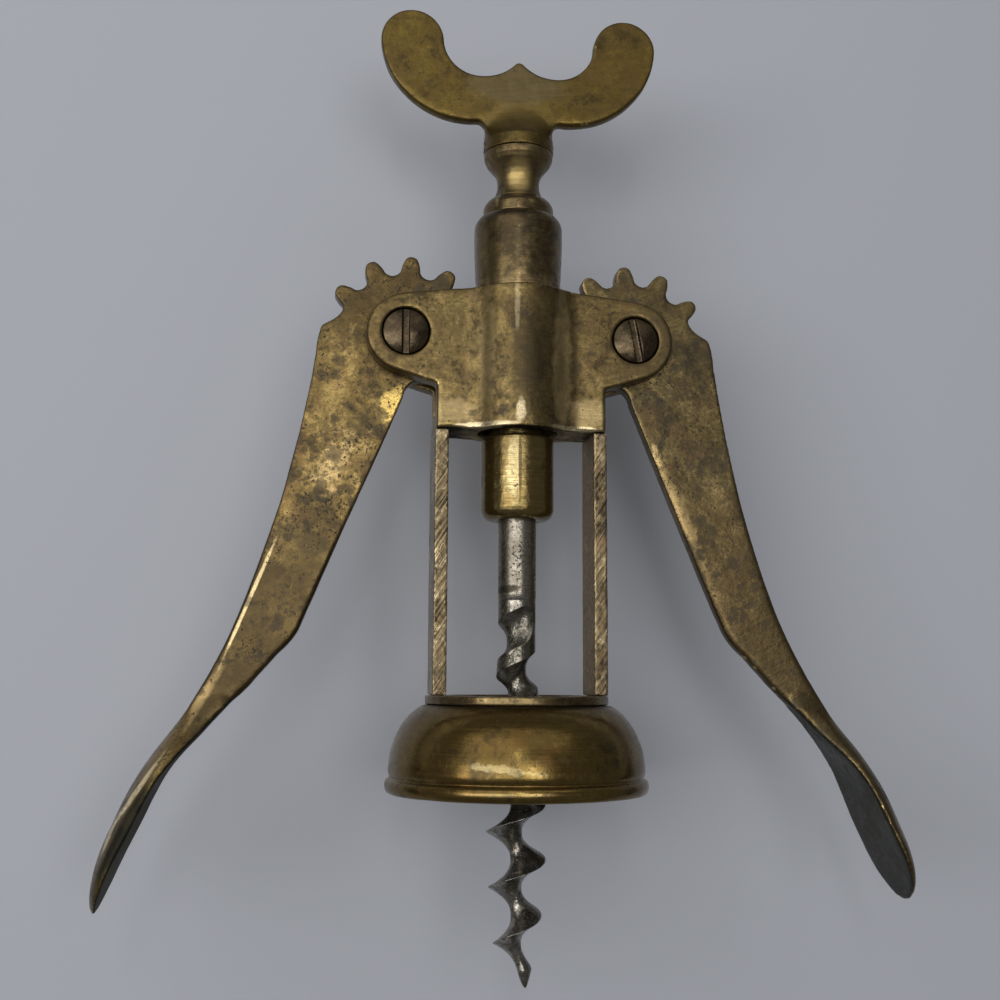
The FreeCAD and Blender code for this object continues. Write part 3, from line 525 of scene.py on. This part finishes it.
STROKES = strokes_effect()
STRUT_INSIDE = (0.15, 0.10, 0.042, 1.0)
FILED = ((0.3, 0.234, 0.138, 1.0), (0.12, 0.09, 0.048, 1.0),
         (0.03, 0.021, 0.011, 1.0), (0.12, 0.078, 0.039, 1.0))
for side, seed, tone, facing in (("left", 3.0, 0.12, 1.0), ("right", 4.0, -0.1, -1.0)):
    inner_face = wear_and_light_mark(-15.0 * facing, 24.0, 60.0, 60.0, STRUT_INSIDE, 0.8, 0.25,
                            ragged=0.0, facing=facing)
    file_cuts = (STROKES, {"along": 0.12, "across": 3.1, "tilt": 1.0})
    filed_brass = old_metal("filed brass " + side, FILED, seed, file_cuts, patch=5.0, tone=tone, stain=0.2,
                            pitting=0.15, rub=0.9, cut_shade=5.0, roughness=0.32, depth=0.14,
                            wear_and_light=[inner_face])
    strut = worn_copy(side + "_strut_bar", side + "_strut", grid=0.25, rounds=2)
    dent(strut, depth=0.04, size=4.0)
    dress(strut, filed_brass, "frame", "filed_brass", side + "_strut")


# ---- Head casting ------------------------------------------------------------------------------------------
# One brass casting that carries both pivots. Its middle swells into a boss round the rack, and each ear is
# slotted for a lever. The face was linished, and the corners are worn bright.

CAST = ((0.172, 0.122, 0.047, 1.0), (0.11, 0.077, 0.029, 1.0),
        (0.05, 0.035, 0.014, 1.0), (0.108, 0.069, 0.029, 1.0))
HIGHLIGHT_AND_WEAR, PAINTED_LIGHT = (0.52, 0.43, 0.26, 1.0), (0.30, 0.22, 0.10, 1.0)
# The head's marks: a dark stripe down the boss's middle, a stain that also stands as painted shade there;
# painted highlights high and low on the boss; painted light over the darker bands at the boss's sides and low
# down either side of it; the right ear darker; painted shade along the underside; bright lines along the
# bottom edge, partly worn bright and partly painted highlight; a small dark spot.
head_light_and_marks = [
    wear_and_light_mark(0.2, 57.5, 3.4, 10.5, (0.043, 0.031, 0.014, 1.0), 0.88, 0.05, ragged=0.9),
    wear_and_light_mark(-1.4, 66.5, 0.5, 5.0, HIGHLIGHT_AND_WEAR, 0.2, -0.04, ragged=1.0),
    wear_and_light_mark(-0.8, 49.0, 0.9, 2.6, HIGHLIGHT_AND_WEAR, 0.5, -0.12, ragged=1.6),
    wear_and_light_mark(-6.0, 58.0, 1.4, 13.0, PAINTED_LIGHT, 0.45, 0.1, ragged=1.2),
    wear_and_light_mark(6.4, 57.0, 2.0, 13.0, PAINTED_LIGHT, 0.95, 0.12, ragged=1.0),
    wear_and_light_mark(-11.0, 49.2, 4.0, 2.6, PAINTED_LIGHT, 0.6, 0.0, ragged=1.6),
    wear_and_light_mark(10.5, 49.5, 4.4, 3.0, PAINTED_LIGHT, 0.8, 0.0, ragged=1.6),
    wear_and_light_mark(21.5, 61.0, 6.0, 7.0, (0.075, 0.053, 0.023, 1.0), 0.85, 0.0, ragged=0.8),
    wear_and_light_mark(0.0, 46.35, 30.0, 0.36, (0.012, 0.009, 0.005, 1.0), 0.95, 0.6, ragged=0.0),
    wear_and_light_mark(-6.5, 46.9, 5.5, 0.55, HIGHLIGHT_AND_WEAR, 0.8, -0.08, ragged=1.0),
    wear_and_light_mark(8.8, 46.8, 5.0, 0.5, HIGHLIGHT_AND_WEAR, 0.7, -0.08, ragged=1.0),
    wear_and_light_mark(8.8, 57.0, 1.4, 1.4, (0.055, 0.042, 0.022, 1.0), 0.7, 0.1, ragged=0.4)]
cast_brass = old_metal("cast brass", CAST, 5.0, (STROKES, {"along": 0.25, "across": 2.4}), patch=4.0,
                       tone=0.02, contrast=1.4, grain=0.9, stain=0.42, pitting=0.45, edge=2.8, cut_shade=0.18,
                       roughness=0.35, depth=0.024, wear_and_light=head_light_and_marks)
head = worn_copy("head_body", "head_casting", grid=0.25, rounds=3)
dent(head, depth=0.06, size=7.0)
dress(head, cast_brass, "frame", "cast_brass", "head_casting")


# ---- Guide sleeve ------------------------------------------------------------------------------------------
# A turned brass tube, pressed into the head, that the rack slides up into. Its shoulder is rounded down to
# the lip that stops the rack.

dark_turned = old_metal("dark turned brass", TURNED, 6.0, (RINGS, {"pitch": 0.35}), patch=7.0, tone=-0.24,
                        contrast=1.1, stain=0.45, pitting=0.25, roughness=0.26, depth=0.02)
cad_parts["guide_sleeve"].data.materials[0] = dark_turned


# ---- Rack sleeve -------------------------------------------------------------------------------------------
# A brass tube round the spindle with ring-shaped teeth, which both levers turn against. The head and the
# guide sleeve hide most of it.

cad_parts["rack_sleeve"].data.materials[0] = turned_brass


# ---- Levers ------------------------------------------------------------------------------------------------
# Two forged brass arms, each with seven gear teeth round its pivot and a leaf-shaped grip at its end. The
# flats are blotched and pitted, and the edges where hands close on them have gone gold.

LEVER = {
    "left": ((0.188, 0.13, 0.047, 1.0), (0.11, 0.075, 0.026, 1.0),
             (0.047, 0.033, 0.014, 1.0), (0.11, 0.067, 0.026, 1.0)),
    "right": ((0.15, 0.11, 0.047, 1.0), (0.088, 0.064, 0.026, 1.0),
              (0.042, 0.031, 0.015, 1.0), (0.088, 0.056, 0.026, 1.0))}
GOLD, TAN, HAZEL = (0.42, 0.29, 0.085, 1.0), (0.30, 0.21, 0.09, 1.0), (0.082, 0.056, 0.024, 1.0)
SHADE_OLIVE, UMBER, SMOKE = (0.016, 0.017, 0.011, 1.0), (0.05, 0.034, 0.014, 1.0), (0.05, 0.037, 0.018, 1.0)
EDGE_HIGHLIGHT, GLINT = (0.55, 0.43, 0.22, 1.0), (0.9, 0.74, 0.44, 1.0)
# Marked places on each lever. Left: the lower arm and the gear end darker; painted shade over the grip's
# inner face and the near part of its outer face; a painted sheen band and painted highlights along the grip's
# ridge and along the arm's outer edge; worn gold and tan patches; two dark stains. Right: the lower arm
# browner; painted shade over the grip's inner face; two worn tan marks.
wear_and_light_places = {
    "left": [
        wear_and_light_mark(-40.0, 13.0, 24.0, 12.0, UMBER, 0.85, 0.0, tilt=1.05, ragged=0.5),
        wear_and_light_mark(-22.0, 68.0, 14.0, 8.0, UMBER, 0.75, 0.0, tilt=0.3, ragged=0.6),
        wear_and_light_mark(-57.0, -16.0, 30.0, 9.0, SHADE_OLIVE, 0.95, 0.5, tilt=1.1, ragged=0.3, facing=1.0),
        wear_and_light_mark(-54.3, -4.0, 15.0, 1.1, TAN, 0.7, -0.02, tilt=1.01, ragged=0.8),
        wear_and_light_mark(-54.4, -12.2, 10.0, 2.2, SHADE_OLIVE, 0.93, 0.3, tilt=0.934, ragged=0.15),
        wear_and_light_mark(-59.9, -16.2, 10.0, 1.0, SHADE_OLIVE, 0.93, 0.3, tilt=1.122, ragged=0.15),
        wear_and_light_mark(-58.4, -10.6, 7.5, 0.42, GLINT, 0.95, -0.1, tilt=0.991, ragged=0.5),
        wear_and_light_mark(-62.2, -17.2, 3.5, 0.35, GLINT, 0.6, -0.1, tilt=1.22, ragged=0.5),
        wear_and_light_mark(-42.9, 18.7, 12.0, 0.36, EDGE_HIGHLIGHT, 0.65, -0.1, tilt=1.19, ragged=0.8),
        wear_and_light_mark(-20.2, 50.8, 4.4, 2.6, GOLD, 0.95, -0.1, tilt=1.1, ragged=2.2),
        wear_and_light_mark(-30.4, 41.0, 5.5, 2.2, TAN, 0.7, -0.05, tilt=1.15, ragged=4.2),
        wear_and_light_mark(-25.8, 47.0, 2.8, 2.5, SMOKE, 0.45, 0.05, ragged=0.4),
        wear_and_light_mark(-33.2, 27.4, 2.8, 2.2, SMOKE, 0.75, 0.05, ragged=0.8)],
    "right": [
        wear_and_light_mark(37.0, 18.0, 24.0, 12.0, HAZEL, 0.7, 0.0, tilt=-1.1, ragged=0.6),
        wear_and_light_mark(57.0, -16.0, 30.0, 9.0, SHADE_OLIVE, 0.95, 0.1, tilt=-1.1, ragged=0.3, facing=-1.0),
        wear_and_light_mark(23.4, 43.5, 2.6, 0.7, TAN, 0.9, -0.12, tilt=-1.2),
        wear_and_light_mark(27.5, 34.0, 9.0, 1.2, TAN, 0.5, -0.05, tilt=-1.15, ragged=2.0)]}


def soften(piece, low, high, rounds):
    """Rubs a piece smoother between two heights in millimetres, most of all midway."""
    group = piece.vertex_groups.new(name="soft")
    middle, half = (low + high) / 2, (high - low) / 2
    for vertex in piece.data.vertices:
        share = 1 - abs(vertex.co.z / MM - middle) / half
        if share > 0:
            group.add([vertex.index], min(1.0, 2 * share), "REPLACE")
    rub_down(piece, rounds, group="soft")
    piece.vertex_groups.clear()


def bow(lever, low, high, reach):
    """Bends a lever's arm outwards between two heights, most of all midway: all in millimetres."""
    for vertex in lever.data.vertices:
        share = (vertex.co.z / MM - low) / (high - low)
        if 0 < share < 1:
            vertex.co.x += math.copysign(reach * MM * math.sin(math.pi * share) ** 2, vertex.co.x)


for side, seed, tone, rub, edge, bend in (("left", 7.0, 0.0, 0.1, 2.6, (-28.0, 58.0, 0.6)),
                                          ("right", 8.5, 0.02, 0.7, 3.2, (-24.0, 24.0, 0.6))):
    brushing = (STROKES, {"along": 0.08, "across": 2.2, "tilt": 0.4})
    lever_brass = old_metal("lever brass " + side, LEVER[side], seed, brushing, tone=tone, contrast=1.3,
                            grain=1.5, stain=0.82, stain_size=2.2, pitting=0.5, rub=rub, edge=edge,
                            roughness=0.34, depth=0.04, wear_and_light=wear_and_light_places[side])
    lever = worn_copy(side + "_lever_arm", side + "_lever", grid=0.27, rounds=3)
    soften(lever, low=-62.0, high=44.0, rounds=40)
    bow(lever, *bend)
    dent(lever, depth=0.06, size=8.0)
    dress(lever, lever_brass, side + "_wing", "lever_brass", side + "_lever")


# ---- Pivot screws and nuts ---------------------------------------------------------------------------------
# Steel screws with domed, slotted heads, sunk in the head's front, each in a barrel nut from the back that
# the lever turns on. They have gone brown.

BROWN = ((0.09, 0.066, 0.038, 1.0), (0.054, 0.039, 0.021, 1.0),
         (0.024, 0.017, 0.009, 1.0), (0.06, 0.035, 0.019, 1.0))
brown_steel = old_metal("browned steel", BROWN, 9.0, (STROKES, {"along": 0.3, "across": 4.0, "tilt": 1.2}),
                        patch=3.0, stain=0.3, pitting=0.3, rub=0.25, dirt=0.9, roughness=0.26, depth=0.02)
for side in ("left", "right"):
    for part in ("screw", "nut"):
        node = side + "_pivot_" + part
        fastener = worn_copy(node + "_turned", node, grid=0.12, rounds=2)
        dent(fastener, depth=0.02, size=2.0)
        dress(fastener, brown_steel, "frame", "dark_steel", node)


# ---- Spindle and worm --------------------------------------------------------------------------------------
# A steel rod that runs from the key to the worm. The worm is a helical groove cut into it, which leaves a
# ridge that sharpens downwards to an off-centre point. Its shank is bright and pitted.

ROD_R, ROD_TOP, ROD_START = 3.1, 98.35, 0.05
WORM_PITCH, WORM_CREST_Z, WORM_TOP, WORM_TIP_Z, WORM_TIP_X = 8.6, -21.95, 19.0, -41.8, 1.55
RIDGE_R, RIDGE_HEIGHTS = (3.05, 4.83), (11.0, -16.0)
CORE_R, CORE_HEIGHTS = (1.65, 0.95), (12.0, -10.0)
LAND_ANGLE, LAND_HEIGHTS = math.radians(52), (6.0, -12.0)
CUT_HEIGHTS, TAPER_HEIGHTS, POINT_HEIGHTS = (16.2, 15.0), (-20.0, -41.85), (-35.0, -41.85)
RIDGE_TAPER, TAPER_CURVE, CORE_TAPER, GROOVE_CURVE = 1.9, 1.3, 0.2, 2.75
STRAIGHT_TIP, TIP_SHARE, TIP_CURVE = 2.7, 0.02, 0.6
WORM_SIDES, WORM_STEP, ROD_STEP = 96, 0.16, 1.2


def from_to(z, heights):
    """0 at the upper height and above, 1 at the lower one and below."""
    return max(0.0, min(1.0, (heights[0] - z) / (heights[0] - heights[1])))


def worm_radius(z, behind, way):
    """The worm's radius at a height, at an angle from the groove's middle, one way or the other."""
    taper = from_to(z, TAPER_HEIGHTS)
    ridge = RIDGE_R[0] + (RIDGE_R[1] - RIDGE_R[0]) * from_to(z, RIDGE_HEIGHTS)
    ridge -= RIDGE_TAPER * taper ** TAPER_CURVE
    core = CORE_R[0] + (CORE_R[1] - CORE_R[0]) * from_to(z, CORE_HEIGHTS) - CORE_TAPER * taper
    cut = from_to(z + way * WORM_PITCH * behind / (2 * math.pi), CUT_HEIGHTS)
    if cut == 0:
        return ridge
    half_groove = (math.pi - LAND_ANGLE * (1 - from_to(z, LAND_HEIGHTS))) * math.sqrt(cut)
    return ridge - (ridge - core) * cut * (1 - min(1, behind / half_groove) ** GROOVE_CURVE)


def worm_points():
    """Rings of points from the worm's point up to the key, and how many rings there are."""
    count = round((WORM_TOP - WORM_TIP_Z) / WORM_STEP)
    heights = [WORM_TIP_Z + (WORM_TOP - WORM_TIP_Z) * step / count for step in range(count + 1)]
    count, above = round((ROD_TOP - WORM_TOP) / ROD_STEP), WORM_TOP + ROD_START
    heights += [above + (ROD_TOP - above) * step / count for step in range(count + 1)]
    points = []
    for z in heights:
        turn = 2 * math.pi * (min(WORM_TOP, max(z, WORM_TIP_Z + STRAIGHT_TIP)) - WORM_CREST_Z) / WORM_PITCH
        shrink = max(TIP_SHARE, (1 - from_to(z, POINT_HEIGHTS)) ** TIP_CURVE)
        for side in range(WORM_SIDES):
            off = 2 * math.pi * side / WORM_SIDES - math.pi
            radius = ROD_R if z > WORM_TOP else worm_radius(z, abs(off), 1 if off > 0 else -1)
            x, y = radius * math.cos(turn + math.pi + off), radius * math.sin(turn + math.pi + off)
            points.append((WORM_TIP_X + (x - WORM_TIP_X) * shrink, y * shrink, z))
    return points, len(heights)


STEEL = ((0.294, 0.273, 0.238, 1.0), (0.168, 0.154, 0.13, 1.0),
         (0.063, 0.056, 0.042, 1.0), (0.14, 0.115, 0.084, 1.0))
shank_marks = [
    wear_and_light_mark(0.0, 27.0, 6.0, 11.0, (0.20, 0.172, 0.13, 1.0), 0.6, 0.14, ragged=0.5),
    wear_and_light_mark(0.0, 9.0, 6.0, 9.0, (0.10, 0.09, 0.062, 1.0), 0.55, 0.0, ragged=0.5),
    wear_and_light_mark(-1.9, 20.7, 2.3, 0.75, (0.03, 0.025, 0.018, 1.0), 0.9, 0.1, tilt=0.1, ragged=0.5)]
worm_steel = old_metal("worm steel", STEEL, 10.0, (RINGS, {"pitch": 0.3}), patch=3.0, contrast=1.5, grain=1.3,
                       stain=0.75, stain_size=0.9, pitting=1.1, edge=1.5, roughness=0.22, depth=0.035,
                       wear_and_light=shank_marks)
points, rings = worm_points()
faces = []
for ring in range(rings - 1):
    for side in range(WORM_SIDES):
        here, there, further = ring * WORM_SIDES, (ring + 1) * WORM_SIDES, (side + 1) % WORM_SIDES
        faces.append((here + side, here + further, there + further, there + side))
faces += [tuple(range(WORM_SIDES)), tuple(range((rings - 1) * WORM_SIDES, rings * WORM_SIDES))]
worm = new_piece("worm_rod", points, faces)
dress(worm, worm_steel, "spindle", "bright_steel", "worm_spindle")


# ---- Lower ferrule -----------------------------------------------------------------------------------------
# A turned brass sleeve pinned to the spindle under the rack, so that the two go up and down together.
# Handling keeps it brighter than the other turned pieces.

FERRULE_OUTLINE = [(ROD_R, 32.0), (4.2, 32.0), (4.9, 32.12), (5.45, 32.5), (5.85, 33.1), (6.0, 33.8),
                   (6.0, 45.7), (4.6, 45.7), (4.6, 50.15), (ROD_R, 50.15)]
POLISHED = ((0.255, 0.195, 0.082, 1.0), (0.16, 0.115, 0.04, 1.0),
            (0.062, 0.045, 0.015, 1.0), (0.165, 0.11, 0.036, 1.0))
# Painted highlight: a bright streak down the front. Painted reflection: a thin dark line down that streak.
ferrule_highlight = wear_and_light_mark(-1.5, 40.2, 1.3, 6.2, (0.42, 0.34, 0.17, 1.0), 0.6, -0.03, ragged=1.2)
ferrule_dark_reflection = wear_and_light_mark(-0.45, 40.6, 0.32, 6.0, (0.05, 0.036, 0.012, 1.0), 0.85, 0.1, ragged=0.8)
polished_brass = old_metal("polished brass", POLISHED, 1.5, (RINGS, {"pitch": 0.34}), patch=6.0, contrast=0.9,
                           stain=0.3, pitting=0.2, scratch=0.3, rub=0.5, cut_shade=0.9, roughness=0.18,
                           gloss=0.08, depth=0.05, wear_and_light=[ferrule_highlight, ferrule_dark_reflection])
ferrule = lathe("ferrule_turned", FERRULE_OUTLINE, corner=0.3, step=0.3)
dent(ferrule, depth=0.02, size=4.0)
dress(ferrule, polished_brass, "spindle", "polished_brass", "lower_ferrule")
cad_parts["ferrule_pin"].data.materials[0] = brown_steel


# ---- Thrust collar -----------------------------------------------------------------------------------------
# A turned brass ring that bears on the top of the rack, so that the rack lifts the spindle by it. Its top is
# rounded over up to the foot of the neck.

COLLAR_OUTLINE = [(ROD_R, 77.15), (4.6, 77.15), (4.6, 83.65), (6.0, 83.65), (6.0, 84.9), (5.9, 85.5),
                  (5.6, 86.1), (5.1, 86.6), (4.5, 86.93), (ROD_R, 86.93)]
collar = lathe("collar_turned", COLLAR_OUTLINE, corner=0.2, step=0.25)
dent(collar, depth=0.02, size=3.0)
dress(collar, turned_brass, "spindle", "turned_brass", "thrust_collar")


# ---- Neck --------------------------------------------------------------------------------------------------
# A waisted brass spool between the collar and the key, turned with a cup-shaped top. A painted highlight
# lightens the middle of the waist.

NECK_OUTLINE = [(ROD_R, 86.97), (4.3, 86.97), (3.9, 87.8), (3.6, 88.8), (3.55, 89.8), (3.7, 90.8),
                (4.1, 91.65), (4.75, 92.45), (5.4, 93.2), (5.8, 94.0), (5.9, 94.7), (5.88, 95.13),
                (ROD_R, 95.13)]
waist_highlight = wear_and_light_mark(-0.4, 90.2, 2.4, 3.6, (0.36, 0.26, 0.10, 1.0), 0.85, 0.03, ragged=0.5)
neck_brass = old_metal("neck brass", TURNED, 12.0, (RINGS, {"pitch": 0.3}), patch=5.0, tone=-0.05, stain=0.3,
                       pitting=0.2, edge=1.5, roughness=0.4, depth=0.02, wear_and_light=[waist_highlight])
neck = lathe("neck_turned", NECK_OUTLINE, corner=0.2, step=0.25)
dent(neck, depth=0.02, size=3.0)
dress(neck, neck_brass, "spindle", "turned_brass", "neck_spool")


# ---- Key ---------------------------------------------------------------------------------------------------
# The brass handle that turns the spindle: a flat blade with two round horns on a boss, pinned through. Its
# faces are brushed and its corners softened.

KEY = ((0.134, 0.092, 0.023, 1.0), (0.094, 0.063, 0.016, 1.0),
       (0.048, 0.033, 0.01, 1.0), (0.104, 0.065, 0.02, 1.0))
key_wear = wear_and_light_mark(-0.5, 107.5, 9.0, 4.5, (0.115, 0.088, 0.043, 1.0), 0.7, -0.04, ragged=0.9)
# Painted light over the top of the boss, which faces upwards.
key_boss_painted_light = wear_and_light_mark(0.0, 101.0, 6.5, 4.0, (0.22, 0.155, 0.05, 1.0), 0.5, 0.0, ragged=0.4)
key_brass = old_metal("key brass", KEY, 11.0, (STROKES, {"along": 0.12, "across": 2.4, "tilt": 0.1}),
                      contrast=1.1, grain=0.9, stain=0.3, pitting=0.25, edge=3.2, cut_shade=0.3,
                      depth=0.025, wear_and_light=[key_wear, key_boss_painted_light])
key = worn_copy("key_blade", "key_handle", grid=0.2, rounds=3)
soften(key, low=98.0, high=108.0, rounds=60)
dent(key, depth=0.05, size=6.0)
dress(key, key_brass, "spindle", "key_brass", "key_handle")
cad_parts["key_pin"].data.materials[0] = brown_steel


# ---- Studio ------------------------------------------------------------------------------------------------
# The corkscrew lies on its back on a plain pale board, under soft lamps. Seen from behind, the board is
# clear, and a lamp back there reaches the corkscrew's back.

BOARD_Y, BOARD_REACH, BOARD_ROUGHNESS = 0.031, 3.0, 0.9
BOARD_COLOUR, ROOM_COLOUR = (0.36, 0.37, 0.40, 1.0), (0.15, 0.155, 0.165, 1.0)
MIDDLE, LAMP_DISTANCE = Vector((0, 0, 0.03)), 0.8
WINDOWS = [("left window", -57, -12, -11, 11, 4.5), ("right window", -6.5, 17, -11, 11, 4.5),
           ("skylight", -11, -4, 11, 28, 6.0), ("left skylight", -57, -16, 11, 48, 1.0),
           ("right skylight", 8, 20, 11, 20, 0.9), ("ceiling", -45, 35, 30, 60, 0.7),
           ("back window", 150, 215, -5, 40, 2.0)]


def board():
    """A wide flat board behind the corkscrew, clear from behind and never in a lamp's way."""
    mesh = bpy.data.meshes.new("board")
    around = ((-1, -1), (1, -1), (1, 1), (-1, 1))
    mesh.from_pydata([(x * BOARD_REACH, BOARD_Y, z * BOARD_REACH) for x, z in around], [], [(0, 1, 2, 3)])
    thing = bpy.data.objects.new("board", mesh)
    bpy.context.scene.collection.objects.link(thing)
    material = bpy.data.materials.new("pale board")
    material.use_nodes = True
    tree = material.node_tree
    shader = tree.nodes["Principled BSDF"]
    shader.inputs["Base Color"].default_value = BOARD_COLOUR
    shader.inputs["Roughness"].default_value = BOARD_ROUGHNESS
    clear = add(tree, "BsdfTransparent")
    back = add(tree, "NewGeometry").outputs["Backfacing"]
    passed = calc(tree, "MAXIMUM", back, add(tree, "LightPath").outputs["Is Shadow Ray"])
    mixed = add(tree, "MixShader", {0: passed, 1: shader.outputs[0], 2: clear.outputs[0]})
    tree.links.new(mixed.outputs[0], tree.nodes["Material Output"].inputs["Surface"])
    mesh.materials.append(material)


def lamp(name, left, right, low, high, glow):
    """A soft rectangular lamp over a range of directions, in degrees to the right and upwards."""
    sideways, rise = math.radians((left + right) / 2), math.radians((low + high) / 2)
    way = Vector((math.sin(sideways) * math.cos(rise), -math.cos(sideways) * math.cos(rise), math.sin(rise)))
    light = bpy.data.lights.new(name, "AREA")
    light.shape = "RECTANGLE"
    light.size = 2 * LAMP_DISTANCE * math.tan(math.radians(right - left) / 2)
    light.size_y = 2 * LAMP_DISTANCE * math.tan(math.radians(high - low) / 2)
    light.energy = glow * math.pi * light.size * light.size_y
    thing = bpy.data.objects.new(name, light)
    thing.location = MIDDLE + way * LAMP_DISTANCE
    thing.rotation_euler = (-way).to_track_quat("-Z", "Y").to_euler()
    bpy.context.scene.collection.objects.link(thing)


board()
for window in WINDOWS:
    lamp(*window)
world = bpy.data.worlds.new("room")
bpy.context.scene.world = world
world.use_nodes = True
world.node_tree.nodes["Background"].inputs["Color"].default_value = ROOM_COLOUR


# ---- Camera ------------------------------------------------------------------------------------------------
# It stands close in front of the corkscrew, a little low and to the left, and looks slightly upwards and to
# the right. It also leans over sideways by a third of a degree.

CAMERA_PLACE = (-0.032454, -0.209956, 0.006276)
CAMERA_YAW, CAMERA_PITCH, CAMERA_ROLL = math.radians(7.836), math.radians(7.858), math.radians(0.318)
CAMERA_WIDTH, CAMERA_SHIFT, CAMERA_NEAR = 36, 0.00414, 0.01
CAMERA_FOCAL = CAMERA_WIDTH * 1.2978

flat, rise = math.cos(CAMERA_PITCH), math.sin(CAMERA_PITCH)
ahead = Vector((math.sin(CAMERA_YAW) * flat, math.cos(CAMERA_YAW) * flat, rise))
level = Vector((math.cos(CAMERA_YAW), -math.sin(CAMERA_YAW), 0))
upward = level.cross(ahead)
right = level * math.cos(CAMERA_ROLL) + upward * math.sin(CAMERA_ROLL)
pose = Matrix((right, right.cross(ahead), -ahead)).transposed().to_4x4()
pose.translation = Vector(CAMERA_PLACE)
camera = bpy.data.objects.new("camera", bpy.data.cameras.new("camera"))
camera.data.sensor_width = CAMERA_WIDTH
camera.data.lens = CAMERA_FOCAL
camera.data.shift_x = CAMERA_SHIFT
camera.data.clip_start = CAMERA_NEAR
camera.matrix_world = pose
bpy.context.scene.collection.objects.link(camera)
bpy.context.scene.camera = camera
bpy.context.scene.view_settings.view_transform = "Standard"
